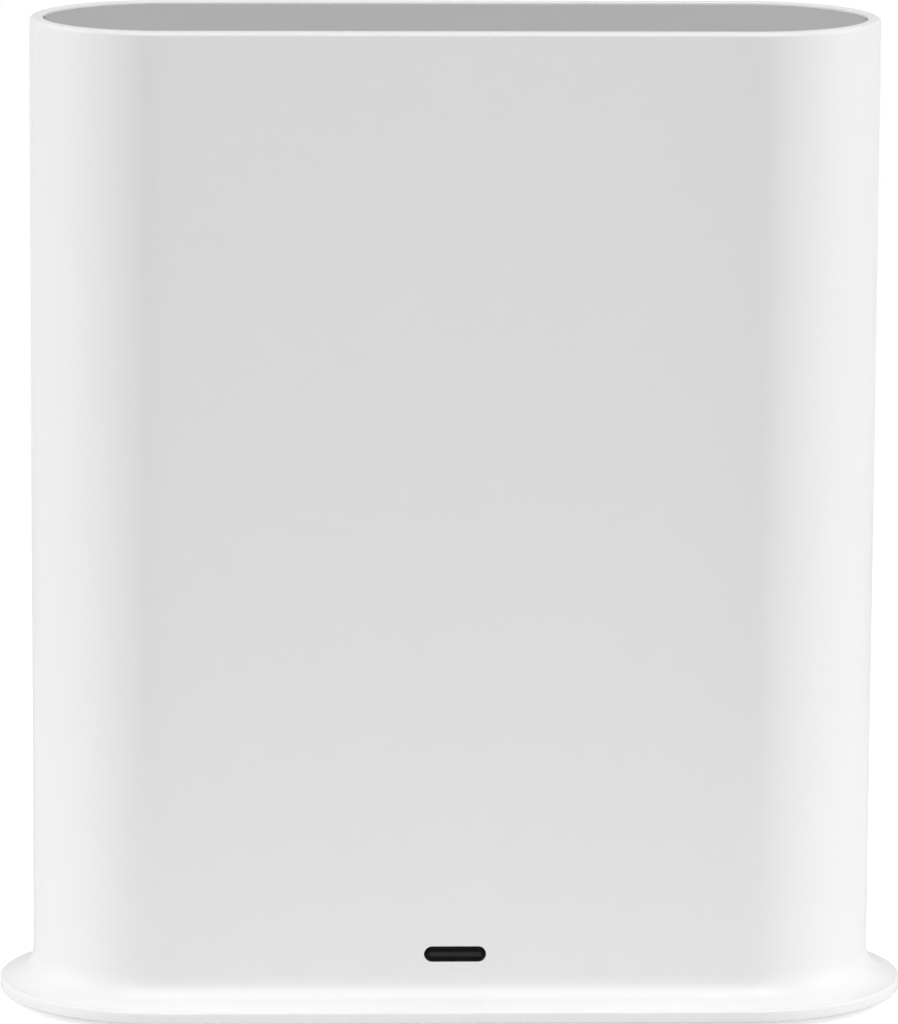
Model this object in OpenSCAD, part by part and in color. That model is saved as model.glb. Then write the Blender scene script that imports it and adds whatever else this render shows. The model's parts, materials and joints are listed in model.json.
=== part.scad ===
/* [Body] */
// Width of the body across its rounded ends
body_w = 110; // [100:1:140]
// Depth of the body from front to back
body_d = 34; // [32:1:42]
// Height from the table to the top of the rim
body_h = 129.6; // [118:0.1:160]
// Thickness of the sleeve's wall
wall = 1.8; // [1.4:0.1:2.4]
// Width of the rim around the top plate
rim_w = 1.7; // [1.2:0.1:2.6]
// Rounding of the rim's outer edge
rim_round = 0.6; // [0.2:0.1:1]

/* [Foot] */
// How far the flared foot reaches past the body
foot_flare = 4.4; // [2:0.1:6]
// Thickness of the foot at its edge
foot_edge = 1.65; // [0.9:0.05:2]
// Rounding of the foot's edge
foot_round = 0.35; // [0.1:0.05:0.4]
// How far the rubber pads stand out below the foot
pad_proud = 1; // [0.6:0.1:2]
// Length of a rubber pad
pad_len = 16; // [10:1:20]
// Width of a rubber pad
pad_w = 5; // [4:0.5:6]
// Depth of the pocket that a rubber pad is glued into
pad_seat = 0.8; // [0.4:0.1:1]
// From the body's edge to the middle of a rubber pad
pad_inset = 5.5; // [5:0.25:6.5]

/* [Base cover] */
// Thickness of the base cover
cover_t = 2.2; // [1.8:0.1:3]
// Width of the shoulder that the base cover closes against
cover_seat = 1.4; // [1:0.1:1.6]
// Height of the locating skirt above the base cover
skirt_h = 2; // [1:0.1:2.4]
// Thickness of the locating skirt
skirt_t = 1.2; // [0.8:0.1:1.6]
// Width of a vent slot in the base cover
floor_vent_w = 1.8; // [1:0.1:2.4]
// Length of a vent slot in the base cover
floor_vent_len = 4.5; // [3:0.1:5]
// Number of vent slots along each long side of the base cover
floor_vent_n = 9; // [3:2:9]
// Depth of the bare recess in the middle of the base cover
label_sink = 0.2; // [0.1:0.05:0.4]

/* [Top plate] */
// Thickness of the top plate
plate_t = 2; // [1.4:0.1:3]
// How far the top plate lies below the rim
plate_sink = 0.35; // [0.1:0.05:1]
// Width of the ledge that carries the top plate
ledge_w = 1.6; // [1:0.1:2.4]
// Thickness of that ledge
ledge_t = 1.6; // [1:0.1:2.4]
// Width of a snap arm under the top plate
clip_w = 8; // [5:0.5:12]
// Thickness of a snap arm
clip_t = 1.2; // [0.8:0.1:1.6]
// How far a snap arm's hook reaches under the ledge
clip_hook = 0.6; // [0.3:0.1:0.9]
// Spacing of the snap arms along the body
clip_pitch = 26; // [16:1:27]

/* [Status light] */
// Width of the status window
window_w = 7.8; // [6:0.1:12]
// Height of the status window
window_h = 1.8; // [1.5:0.1:3.2]
// Height of the status window's middle above the table
window_z = 9.24; // [8.5:0.01:11]
// Lip of the status window behind the wall
window_lip = 1.1; // [0.6:0.1:1.4]
// Thickness of that lip
window_lip_t = 1; // [0.6:0.1:1.6]

/* [Rear ports] */
// Depth of the port bay below the rear face
bay_depth = 1; // [0.6:0.1:1.2]
// Corner radius of the port bay
bay_round = 3; // [1:0.25:4]
// Height of the row of ports above the table
port_z = 20; // [19:0.5:24]
// Gap between neighbouring ports
port_gap = 3.5; // [2.5:0.25:4.5]
// Panel left around the row of ports
panel_margin = 3; // [2:0.25:4]
// Lip of the panel behind the wall
panel_lip = 3; // [2.6:0.1:3.4]
// Thickness of that lip
panel_t = 1.5; // [1:0.1:2]
// Diameter of the pins that hold the panel to the wall
stake_d = 1.6; // [1.2:0.1:1.8]
// From a socket's mouth to the face of the board that carries it
socket_len = 16.2; // [14:0.1:18]
// How far a socket's mouth lies below the panel's face
mouth_sink = 0.2; // [0:0.05:0.4]

/* [Network socket] */
// Width of the network socket's housing
net_w = 15.8; // [15:0.1:17]
// Height of the network socket's housing
net_h = 13.2; // [12.8:0.1:15]
// Thickness of its metal shield
net_skin = 0.25; // [0.2:0.05:0.4]
// Width of the plug's opening
plug_w = 11.9; // [11.7:0.05:12.2]
// Height of the plug's opening
plug_h = 7.2; // [6.8:0.05:7.4]
// Depth of the plug's opening
plug_depth = 12.5; // [11:0.1:13]
// Housing left above the plug's opening
net_roof = 2; // [1.4:0.1:2.2]
// Width of the notch for the plug's latch
latch_w = 6.4; // [6:0.1:7]
// Height of that notch
latch_h = 1.6; // [1.2:0.1:1.8]
// Width of the narrow notch for the latch's thumb piece
thumb_w = 3.4; // [3:0.1:4.4]
// Height of that narrow notch
thumb_h = 1.2; // [0.8:0.1:1.4]
// Spacing of the contact springs
net_pitch = 1.02; // [1:0.01:1.1]
// Width of a contact spring
net_wire_w = 0.46; // [0.35:0.01:0.5]
// How far the contact springs reach into the opening
net_wire_drop = 2.2; // [1.8:0.1:2.4]
// Width of a link light
link_w = 2.6; // [2:0.1:2.8]
// Height of a link light
link_h = 1.8; // [1.2:0.1:2]

/* [USB socket] */
// Width of the USB socket's shell
usb_w = 13.1; // [13:0.05:13.6]
// Height of the USB socket's shell
usb_h = 5.7; // [5.6:0.05:6.2]
// Thickness of the shell
usb_skin = 0.3; // [0.2:0.05:0.4]
// Width of the tongue that carries the contacts
tongue_w = 11.1; // [10.6:0.1:11.6]
// Thickness of the tongue
tongue_t = 1.8; // [1.5:0.05:1.9]
// How far the tongue's tip lies below the mouth
tongue_sink = 1.5; // [1:0.1:2]
// How far the tongue lies above the socket's middle
tongue_up = 0.65; // [0.4:0.05:0.8]
// Length of the block at the foot of the tongue
usb_block = 3; // [2:0.1:4]

/* [Power socket] */
// Width of the power socket's square housing
dc_w = 9.4; // [9.2:0.1:11]
// Diameter of the round nose that fills the hole in the panel
dc_nose = 9; // [8.4:0.1:9.2]
// Diameter of the socket's bore
dc_bore = 6.3; // [5.9:0.1:6.6]
// Depth of the socket's bore
dc_depth = 10.5; // [9:0.1:12]
// Diameter of the centre pin
dc_pin = 2; // [1.6:0.05:2.5]
// How far the pin's tip lies below the mouth
dc_pin_sink = 1.2; // [0.8:0.1:2]

/* [Buttons] */
// Diameter of the sync button
sync_d = 10; // [8:0.5:12]
// Height of the sync button above the table
sync_z = 52; // [46:1:66]
// How far the sync button stands out of the rear face
sync_proud = 0.5; // [0.2:0.1:1]
// Travel of the sync button
sync_travel = 0.6; // [0.3:0.05:0.8]
// Flange that keeps the sync button behind the wall
sync_flange = 1.2; // [0.8:0.1:2]
// Thickness of that flange
sync_flange_t = 1; // [0.6:0.1:1.6]
// Diameter of the reset pinhole
pinhole_d = 1.8; // [1.4:0.1:2]
// Travel of the reset plunger
reset_travel = 0.3; // [0.2:0.05:0.4]

/* [Board and frame] */
// Thickness of the main board
board_t = 1.6; // [1.2:0.1:2]
// From the body's end to the main board's edge
board_side = 13; // [12:0.25:16]
// From the base cover to the main board's lower edge
board_lift = 3.4; // [2.4:0.1:5]
// From the ledge down to the top of the frame
top_room = 16; // [12:1:24]
// Width of the frame's upright rails
rail_w = 7; // [6:0.5:9]
// Depth of the frame's bars
rail_d = 4; // [3:0.25:5]
// Height of the frame's cross bars
bar_h = 4; // [3:0.5:6]

/* [Cooling] */
// Width of the heat sink
sink_w = 46; // [40:1:54]
// Height of the heat sink
sink_h = 40; // [34:1:44]
// Thickness of the heat sink's base
sink_base = 2; // [1.5:0.1:3]
// Thickness of a fin
fin_t = 1.2; // [0.8:0.1:1.6]
// Number of fins
fin_n = 7; // [3:2:9]
// Spacing of the fins
fin_pitch = 4.4; // [3:0.1:5]
// Gap between the fins and the front wall
fin_gap = 2.2; // [1:0.1:3]
// Width of an air slot in the rear wall
slot_w = 1.6; // [1:0.1:2]
// Height of an air slot in the rear wall
slot_h = 16; // [10:1:20]
// Spacing of the air slots
slot_pitch = 4; // [3:0.1:4.6]
// Number of air slots
slot_n = 13; // [5:2:13]
// From the top of the rim down to the middle of the air slots
slot_drop = 26; // [22:1:36]

/* [Fasteners] */
// Diameter of the base screws
base_screw_d = 2.9; // [2.5:0.1:3]
// Length of the base screws
base_screw_len = 8; // [6:0.5:10]
// Diameter of the base screws' heads
base_head_d = 5.4; // [4.8:0.1:5.6]
// Height of the base screws' heads
base_head_h = 1.2; // [0.8:0.1:1.3]
// Depth of the counterbore around those heads
head_sink = 1.4; // [1.3:0.05:1.6]
// Diameter of the small screws on the board
small_screw_d = 2; // [1.6:0.1:2.4]
// Diameter of the small screws' heads
small_head_d = 4; // [3.4:0.1:4.4]
// Height of the small screws' heads
small_head_h = 1.4; // [1:0.1:1.8]
// Diameter of the screw bosses
boss_d = 7; // [6:0.25:7.5]

/* [Clearances] */
// Between two pieces that are fixed to each other
fit = 0.12; // [0.05:0.01:0.2]
// Around a moving plunger or a screw in its bore
run = 0.05; // [0.03:0.01:0.1]
// Around the sync button and the sockets
ring_gap = 0.25; // [0.15:0.05:0.4]

/* [Hidden] */
$fn = 96;

// A cut reaches this far past the face that it goes through
past = 1;

// Body outline: two half circles of radius end_r, with straight sides between their middles at +-half_len
end_r = body_d / 2;
half_len = body_w / 2 - end_r;
inner_r = end_r - wall;

// Heights, from the table up
foot_z = pad_proud;
foot_top = foot_z + foot_edge;
foot_flat = 0.1;
foot_fillet = foot_flare - foot_round - foot_flat;
cover_top = foot_z + cover_t;
cover_r = inner_r + cover_seat;
plate_top = body_h - plate_sink;
ledge_top = plate_top - plate_t;
ledge_low = ledge_top - ledge_t;
pad_in = 4;
opening_r = end_r - rim_w;
ledge_r = opening_r - ledge_w;

// Depths, from the rear face to the front: the front is at -Y
back_y = end_r;
back_in = inner_r;
front_y = -end_r;
front_in = -inner_r;
panel_face = back_y - bay_depth;
mouth_y = panel_face - mouth_sink;
board_back = mouth_y - socket_len;
board_front = board_back - board_t;

// Row of ports, laid out from +X to -X: power, network, USB, reset
skin_gap = 0.05;
net_out_w = net_w + 2 * (skin_gap + net_skin);
net_out_h = net_h + 2 * (skin_gap + net_skin);
reset_w = 4.5;
row_w = dc_w + net_out_w + usb_w + reset_w + 3 * port_gap;
dc_x = row_w / 2 - dc_w / 2;
net_x = dc_x - dc_w / 2 - port_gap - net_out_w / 2;
usb_x = net_x - net_out_w / 2 - port_gap - usb_w / 2;
reset_x = usb_x - usb_w / 2 - port_gap - reset_w / 2;
bay_w = row_w + 2 * panel_margin;
bay_h = net_out_h + 2 * panel_margin;
lip_w = bay_w + 2 * panel_lip;
lip_h = bay_h + 2 * panel_lip;
stake_over = 0.4;
stake_x = bay_w / 2 + panel_lip / 2;
stake_z = net_h / 2;

// Board and frame
board_w = body_w - 2 * board_side;
board_low = cover_top + board_lift;
frame_top = ledge_low - top_room;
rail_overlap = 5;
rail_in = board_w / 2 - rail_overlap;
rail_out = rail_in + rail_w;
frame_lift = 9;
frame_low = board_low + frame_lift;
frame_over = 2;
board_top = frame_top - frame_over;
bar_low_top = frame_low + bar_h;
boss_gap = 0.1;
boss_y = board_front - boss_gap - boss_d / 2;
foot_boss_x = 22;
sleeve_boss_in = 8.5;
sleeve_boss_x = body_w / 2 - sleeve_boss_in;
sleeve_boss_y = 3;
boss_over = 3;
sleeve_boss_top = cover_top + base_screw_len + boss_over;
pilot_d = base_screw_d + 2 * run;
pilot_len = base_screw_len - (cover_t - head_sink) + past;
board_screw_side = 2.5;
board_screw_x = rail_in + board_screw_side;
board_screw_in = 5;
board_screw_short = 0.6;
board_screw_len = board_t + rail_d - board_screw_short;

// Chips and cooling, from the board's front face forwards
chip_drop = 34;
chip_z = frame_top - chip_drop;
chip_w = 16;
chip_t = 1.2;
pad_soft_t = 0.8;
sink_back = board_front - chip_t - pad_soft_t;
sink_face = sink_back - sink_base;
fin_tip = front_in + fin_gap;
sink_screw_in = 3.5;
sink_screw_x = sink_w / 2 - sink_screw_in;
sink_screw_z = sink_h / 2 - sink_screw_in;
standoff_d = 4.6;

// Status light, from the window back to the board
window_back = front_in + window_lip_t;
led_t = 0.65;
led_gap = 0.15;
pipe_back = board_front - led_t - led_gap;
pipe_slim_w = 1.2;
pipe_slim_h = 0.3;
pipe_w = window_w - pipe_slim_w;
pipe_h = window_h - pipe_slim_h;
leg_d = 2;
peg_d = 1.2;
leg_x = pipe_w / 2 + leg_d;

// Switches behind the buttons
sync_body = 6.2;
sync_body_h = 3.6;
sync_post_d = 3.5;
sync_post_len = 8.4;
sync_post_top = board_back + sync_post_len;
sync_rest_gap = 0.1;
sync_rim = back_in - sync_rest_gap;
sync_hole_d = sync_d + 2 * ring_gap;
switch_floor = 1.2;
reset_body_h = 3.2;
reset_post_d = 2;
reset_room = 0.9;
reset_post_top = back_in - panel_t - reset_room;

// Antennas stand on the frame's outer faces, and a thin lead runs from each to the board
antenna_t = 1;
antenna_w = 14;
antenna_h = 44;
antenna_drop = 16;
antenna_low = chip_z - antenna_drop;
antenna_back = 6;
antenna_peg_d = 2;
antenna_peg_in = 5;
antenna_peg_over = 0.6;
lead_d = 1.2;
plug_d = 2.8;
plug_reach = 3.1;
// Points of the right-hand lead: out from the board's edge, back from the board, up from the antenna's foot
lead_points = [
    [2, 3.9, 7], [0, 3.9, 7], [-2.4, 3.8, 7.8], [-4, 3.5, 10],
    [-4.4, 3.1, 12.6], [-4.4, 2.7, 15.2], [-4.5, 2.3, 17.8], [-4.9, 1.9, 20.4],
    [-5.8, 1.7, 22.2], [-7, 1.6, 23], [-8.4, 1.6, 23]
];
// The lead's first point is on the antenna, and its last is where the plug's ferrule starts
lead_origin = [rail_out - lead_points[0].x, board_back, antenna_low];
lead_end = lead_origin + lead_points[len(lead_points) - 1];
plug_x = lead_end.x - plug_reach;
plug_z = lead_end.z;

// Solid with the body's outline; the children are half of its section, radius across and height up
module round_ended() {
    for (side = [-1, 1])
        translate([side * half_len, 0, 0])
            rotate([0, 0, -90 * side])
                rotate_extrude(angle = 180)
                    children();
    rotate([90, 0, 90])
        linear_extrude(height = 2 * half_len, center = true)
            union() {
                children();
                mirror([1, 0]) children();
            }
}

// Solid between two depths; the children are its outline as seen along the depth, X across and Z up
module slab(from_y, to_y) {
    translate([0, to_y, 0])
        rotate([90, 0, 0])
            linear_extrude(height = to_y - from_y)
                children();
}

// Solid turned about a line along the depth; the children are half of its section, radius by depth
module turned(x, z) {
    translate([x, 0, z])
        rotate([-90, 0, 0])
            rotate_extrude()
                children();
}

module block(x, z, w, h, from_y, to_y) {
    slab(from_y, to_y)
        translate([x, z])
            square([w, h], center = true);
}

module rod(x, z, d, from_y, to_y) {
    slab(from_y, to_y)
        translate([x, z])
            circle(d = d);
}

module pill(w, h) {
    square([w - h, h], center = true);
    for (side = [-1, 1])
        translate([side * (w - h) / 2, 0])
            circle(d = h);
}

module rounded(w, h, r) {
    square([w - 2 * r, h], center = true);
    square([w, h - 2 * r], center = true);
    for (sx = [-1, 1], sy = [-1, 1])
        translate([sx * (w / 2 - r), sy * (h / 2 - r)])
            circle(r);
}

module mirrored_x() {
    for (side = [0, 1])
        mirror([side, 0, 0])
            children();
}

module at_corners(x, z) {
    for (sx = [-1, 1], sz = [-1, 1])
        translate([sx * x, 0, sz * z])
            children();
}

// Middles of the rubber pads and of the base screws, as seen from above
module at_pads() {
    for (sx = [-1, 1], sy = [-1, 1])
        translate([sx * (half_len - pad_in), sy * (end_r - pad_inset), 0])
            children();
}

module at_base_screws() {
    for (side = [-1, 1]) {
        translate([side * sleeve_boss_x, sleeve_boss_y, 0]) children();
        translate([side * foot_boss_x, boss_y, 0]) children();
    }
}

// Outer shells

module sleeve_section() {
    difference() {
        union() {
            translate([0, foot_z])
                square([end_r + foot_flare - foot_round, body_h - foot_z - rim_round]);
            translate([0, foot_z + foot_round])
                square([end_r + foot_flare, foot_edge - 2 * foot_round]);
            for (z = [foot_z + foot_round, foot_top - foot_round])
                translate([end_r + foot_flare - foot_round, z])
                    circle(foot_round);
            translate([0, body_h / 2])
                square([end_r - rim_round, body_h / 2]);
            translate([end_r - rim_round, body_h - rim_round])
                circle(rim_round);
        }
        flare_space();
    }
}

// Space beside the body and above the foot, whose round corner is the flare
module flare_space() {
    space_w = 2 * foot_flare;
    translate([end_r + foot_fillet, foot_top])
        square([space_w, body_h]);
    translate([end_r, foot_top + foot_fillet])
        square([space_w, body_h]);
    translate([end_r + foot_fillet, foot_top + foot_fillet])
        circle(foot_fillet);
}

module cavity_section() {
    translate([0, -past])
        square([cover_r + fit, cover_top + past]);
    translate([0, cover_top - past])
        square([inner_r, ledge_low - cover_top + past]);
    translate([0, ledge_low - past])
        square([ledge_r, body_h]);
    translate([0, ledge_top])
        square([opening_r, body_h]);
}

module sleeve_bosses() {
    rib_t = 1.6;
    rib_gap = 0.4;
    rib_sink = 0.4;
    rib_low = cover_top + skirt_h + rib_gap;
    rib_end = body_w / 2 - wall + rib_sink;
    mirrored_x() {
        translate([sleeve_boss_x, sleeve_boss_y, cover_top])
            cylinder(d = boss_d, h = sleeve_boss_top - cover_top);
        translate([sleeve_boss_x, sleeve_boss_y - rib_t / 2, rib_low])
            cube([rib_end - sleeve_boss_x, rib_t, sleeve_boss_top - rib_low]);
    }
}

// Two upright ribs inside the front wall steady the frame
module guide_ribs() {
    rib_t = 1.4;
    rib_in = wall / 2;
    reach = board_front - rail_d - fit - front_in + rib_in;
    mirrored_x()
        translate([rail_in + rib_t, front_in - rib_in, bar_low_top])
            cube([rib_t, reach, frame_top - bar_low_top - bar_h]);
}

module panel_stakes() {
    translate([0, 0, port_z])
        at_corners(stake_x, stake_z)
            rod(0, 0, stake_d, back_in - panel_t - stake_over, back_in + wall / 2);
}

module outer_sleeve() {
    color("#f3f3f1")
        difference() {
            union() {
                difference() {
                    round_ended() sleeve_section();
                    round_ended() cavity_section();
                }
                sleeve_bosses();
                guide_ribs();
                panel_stakes();
            }
            slab(front_y - past, front_in + past)
                translate([0, window_z])
                    pill(window_w + 2 * fit, window_h + 2 * fit);
            slab(back_in, back_y + past)
                translate([0, port_z])
                    rounded(bay_w, bay_h, bay_round);
            rod(0, sync_z, sync_hole_d, back_in - past, back_y + past);
            slab(back_in - past, back_y + past)
                for (i = [0 : slot_n - 1])
                    translate([(i - (slot_n - 1) / 2) * slot_pitch, body_h - slot_drop])
                        rotate(90)
                            pill(slot_h, slot_w);
            mirrored_x()
                translate([sleeve_boss_x, sleeve_boss_y, cover_top - past])
                    cylinder(d = pilot_d, h = pilot_len + past);
        }
}

module snap_arm() {
    arm_face = ledge_r - fit;
    hook_top = ledge_low - fit;
    hook_h = 1.6;
    hook_edge = 0.4;
    tip = hook_top - hook_h;
    rotate([90, 0, 90])
        linear_extrude(height = clip_w, center = true)
            polygon([
                [arm_face - clip_t, ledge_top], [arm_face, ledge_top],
                [arm_face, hook_top], [arm_face + clip_hook, hook_top],
                [arm_face + clip_hook, hook_top - hook_edge], [arm_face, tip],
                [arm_face - clip_t, tip]
            ]);
}

module top_plate() {
    plate_round = 0.2;
    plate_r = opening_r - fit;
    color("#a9aaab") {
        round_ended() {
            translate([0, ledge_top])
                square([plate_r, plate_t - plate_round]);
            translate([0, ledge_top])
                square([plate_r - plate_round, plate_t]);
            translate([plate_r - plate_round, plate_top - plate_round])
                circle(plate_round);
        }
        for (i = [-1 : 1], turn = [0, 180])
            rotate([0, 0, turn])
                translate([i * clip_pitch, 0, 0])
                    snap_arm();
    }
}

module cover_vents() {
    vent_in = 1.2;
    vent_y = end_r - pad_inset - vent_in;
    for (i = [0 : floor_vent_n - 1], side = [-1, 1])
        translate([(i - (floor_vent_n - 1) / 2) * 2 * floor_vent_w, side * vent_y, 0])
            linear_extrude(height = cover_top + past)
                rotate(90)
                    pill(floor_vent_len, floor_vent_w);
}

module base_cover() {
    label_w = 30;
    label_h = 9;
    label_round = 1;
    color("#e9e9e7")
        difference() {
            union() {
                round_ended()
                    translate([0, foot_z])
                        square([cover_r, cover_t]);
                round_ended()
                    translate([inner_r - fit - skirt_t, cover_top - past])
                        square([skirt_t, skirt_h + past]);
            }
            at_pads()
                translate([0, 0, foot_z - past])
                    linear_extrude(height = pad_seat + past)
                        pill(pad_len + 2 * fit, pad_w + 2 * fit);
            at_base_screws() {
                translate([0, 0, foot_z - past])
                    cylinder(d = base_head_d + 2 * ring_gap, h = head_sink + past);
                cylinder(d = base_screw_d + 2 * ring_gap, h = cover_top + past);
            }
            cover_vents();
            translate([0, 0, foot_z - past])
                linear_extrude(height = label_sink + past)
                    rounded(label_w, label_h, label_round);
        }
}

module rubber_feet() {
    color("#6f7072")
        at_pads()
            linear_extrude(height = pad_proud + pad_seat)
                pill(pad_len, pad_w);
}

// Status light

module status_window() {
    color("#141416") {
        slab(front_y, front_in)
            translate([0, window_z])
                pill(window_w, window_h);
        slab(front_in, window_back)
            translate([0, window_z])
                pill(window_w + 2 * window_lip, window_h + 2 * window_lip);
    }
}

module light_pipe() {
    bar_t = 1.6;
    color("#dfe7ea") {
        slab(window_back, pipe_back)
            translate([0, window_z])
                pill(pipe_w, pipe_h);
        block(0, window_z, 2 * leg_x, leg_d, pipe_back - bar_t, pipe_back);
        for (side = [-1, 1]) {
            rod(side * leg_x, window_z, leg_d, pipe_back - bar_t, board_front);
            rod(side * leg_x, window_z, peg_d, board_front, board_back);
        }
    }
}

module status_led() {
    led_w = 2;
    led_h = 1.2;
    color("#f6f0d0")
        block(0, window_z, led_w, led_h, board_front - led_t, board_front);
}

// Port bay

module port_panel() {
    color("#8f9193")
        difference() {
            union() {
                slab(back_in, panel_face)
                    translate([0, port_z])
                        rounded(bay_w - 2 * fit, bay_h - 2 * fit, bay_round - fit);
                slab(back_in - panel_t, back_in)
                    translate([0, port_z])
                        rounded(lip_w, lip_h, bay_round);
            }
            slab(back_in - panel_t - past, panel_face + past)
                panel_holes();
            translate([0, 0, port_z])
                at_corners(stake_x, stake_z)
                    rod(0, 0, stake_d + 2 * fit, back_in - panel_t - past, back_in + past);
        }
}

module panel_holes() {
    translate([dc_x, port_z])
        circle(d = dc_nose + 2 * ring_gap);
    translate([net_x, port_z])
        square([net_out_w + 2 * ring_gap, net_out_h + 2 * ring_gap], center = true);
    translate([usb_x, port_z])
        square([usb_w + 2 * ring_gap, usb_h + 2 * ring_gap], center = true);
    translate([reset_x, port_z])
        circle(d = pinhole_d);
}

// Buttons

module sync_button() {
    cap_round = 0.4;
    cap_top = back_y + sync_proud;
    cap_r = sync_d / 2;
    flange_low = sync_rim - sync_flange_t;
    stem_d = 4.4;
    color("#f0f0ee")
        turned(0, sync_z) {
            translate([0, flange_low])
                square([cap_r, cap_top - cap_round - flange_low]);
            translate([0, flange_low])
                square([cap_r - cap_round, cap_top - flange_low]);
            translate([cap_r - cap_round, cap_top - cap_round])
                circle(cap_round);
            translate([0, flange_low])
                square([cap_r + sync_flange, sync_flange_t]);
            translate([0, sync_post_top])
                square([stem_d / 2, flange_low - sync_post_top + past / 2]);
        }
}

module switch_body(x, z, w, h, post_d) {
    difference() {
        block(x, z, w, w, board_back, board_back + h);
        rod(x, z, post_d + 2 * run, board_back + switch_floor, board_back + h + past);
    }
}

module sync_switch_body() {
    color("#2b2b2d")
        switch_body(0, sync_z, sync_body, sync_body_h, sync_post_d);
}

module sync_switch_plunger() {
    color("#1d1d1f")
        rod(0, sync_z, sync_post_d, board_back + switch_floor + sync_travel + run, sync_post_top);
}

module reset_switch_body() {
    color("#2b2b2d")
        switch_body(reset_x, port_z, reset_w, reset_body_h, reset_post_d);
}

module reset_plunger() {
    color("#c9c9c6")
        rod(reset_x, port_z, reset_post_d, board_back + switch_floor + reset_travel + run, reset_post_top);
}

// Network socket

net_top = port_z + net_h / 2 - net_roof;
net_low = net_top - plug_h;
net_face = mouth_y - net_skin - skin_gap;
link_edge = 0.7;
link_depth = 4;
link_x = net_w / 2 - link_edge - link_w / 2;
link_z = port_z - net_h / 2 + link_edge + link_h / 2;

module plug_opening(grow) {
    translate([net_x - plug_w / 2 - grow, net_low - grow])
        square([plug_w + 2 * grow, plug_h + 2 * grow]);
    translate([net_x - latch_w / 2 - grow, net_low - latch_h - grow])
        square([latch_w + 2 * grow, latch_h + past]);
    translate([net_x - thumb_w / 2 - grow, net_low - latch_h - thumb_h - grow])
        square([thumb_w + 2 * grow, thumb_h + past]);
}

module link_windows(grow) {
    for (side = [-1, 1])
        translate([net_x + side * link_x, link_z])
            square([link_w + 2 * grow, link_h + 2 * grow], center = true);
}

module network_housing() {
    color("#242426")
        difference() {
            block(net_x, port_z, net_w, net_h, board_back, net_face);
            slab(net_face - plug_depth, net_face + past)
                plug_opening(0);
            slab(net_face - link_depth, net_face + past)
                link_windows(skin_gap);
        }
}

module network_shield() {
    color("#c2c5c8")
        difference() {
            block(net_x, port_z, net_out_w, net_out_h, board_back, mouth_y);
            block(net_x, port_z, net_w + 2 * skin_gap, net_h + 2 * skin_gap,
                board_back - past, mouth_y - net_skin);
            slab(mouth_y - net_skin - past, mouth_y + past) {
                plug_opening(net_skin / 2);
                link_windows(skin_gap);
            }
        }
}

// Each contact spring runs along the roof of the opening and folds back into it
module network_contacts() {
    wire_t = 0.3;
    fold_in = 1.8;
    tip_in = 3.2;
    foot_y = net_face - plug_depth;
    fold_y = net_face - fold_in;
    tip_y = foot_y + tip_in;
    count = 8;
    color("#d8b25a")
        for (i = [0 : count - 1])
            translate([net_x + (i - (count - 1) / 2) * net_pitch, 0, 0])
                rotate([90, 0, 90])
                    linear_extrude(height = net_wire_w, center = true)
                        polygon([
                            [foot_y, net_top], [fold_y, net_top],
                            [fold_y + wire_t, net_top - wire_t],
                            [fold_y + wire_t, net_top - 2 * wire_t],
                            [tip_y, net_top - net_wire_drop],
                            [tip_y, net_top - net_wire_drop + wire_t],
                            [fold_y - wire_t, net_top - 2 * wire_t],
                            [fold_y - 2 * wire_t, net_top - wire_t],
                            [foot_y, net_top - wire_t]
                        ]);
}

module network_lights() {
    color("#b9d6a2")
        slab(net_face - link_depth, mouth_y - skin_gap)
            link_windows(0);
}

// USB socket

usb_in = usb_skin + skin_gap;
tongue_tip = mouth_y - tongue_sink;
tongue_z = port_z + tongue_up;

module usb_shell() {
    color("#c8cbce")
        difference() {
            block(usb_x, port_z, usb_w, usb_h, board_back, mouth_y);
            block(usb_x, port_z, usb_w - 2 * usb_skin, usb_h - 2 * usb_skin,
                board_back - past, mouth_y + past);
        }
}

module usb_insert() {
    color("#f2f2ee") {
        block(usb_x, port_z, usb_w - 2 * usb_in, usb_h - 2 * usb_in, board_back, board_back + usb_block);
        block(usb_x, tongue_z, tongue_w, tongue_t, board_back + usb_block, tongue_tip);
    }
}

module usb_contacts() {
    strip_w = 1;
    strip_t = 0.15;
    strip_in = 0.6;
    outer_strip = 3.5;
    inner_strip = 1;
    strip_z = tongue_z - tongue_t / 2 - strip_t / 2;
    color("#d8b25a")
        for (x = [outer_strip, inner_strip], side = [-1, 1])
            block(usb_x + side * x, strip_z, strip_w, strip_t,
                board_back + usb_block, tongue_tip - strip_in);
}

// Power socket

dc_floor = mouth_y - dc_depth;
dc_root_slim = 0.4;
dc_root_d = dc_pin - dc_root_slim;
dc_step = 0.5;
dc_shoulder = back_in - panel_t - dc_step;
leaf_t = 0.35;
leaf_w = 2;

module power_housing() {
    color("#202022")
        difference() {
            union() {
                block(dc_x, port_z, dc_w, dc_w, board_back, dc_shoulder);
                rod(dc_x, port_z, dc_nose, dc_shoulder, mouth_y);
            }
            rod(dc_x, port_z, dc_bore, dc_floor, mouth_y + past);
            rod(dc_x, port_z, dc_root_d + 2 * run, board_back - past, dc_floor + past);
            block(dc_x, port_z + dc_bore / 2, leaf_w + 2 * run, 2 * leaf_t + 2 * run,
                dc_floor, dc_shoulder);
        }
}

// The pin stands on the floor of the bore, and its thinner root goes through that floor to the board
module power_pin() {
    tip_round = 0.5;
    pin_top = mouth_y - dc_pin_sink;
    color("#d5d7d9")
        turned(dc_x, port_z) {
            translate([0, board_back])
                square([dc_root_d / 2, dc_floor - board_back + past]);
            translate([0, dc_floor])
                square([dc_pin / 2, pin_top - tip_round - dc_floor]);
            translate([0, dc_floor])
                square([dc_pin / 2 - tip_round, pin_top - dc_floor]);
            translate([dc_pin / 2 - tip_round, pin_top - tip_round])
                circle(tip_round);
        }
}

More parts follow.
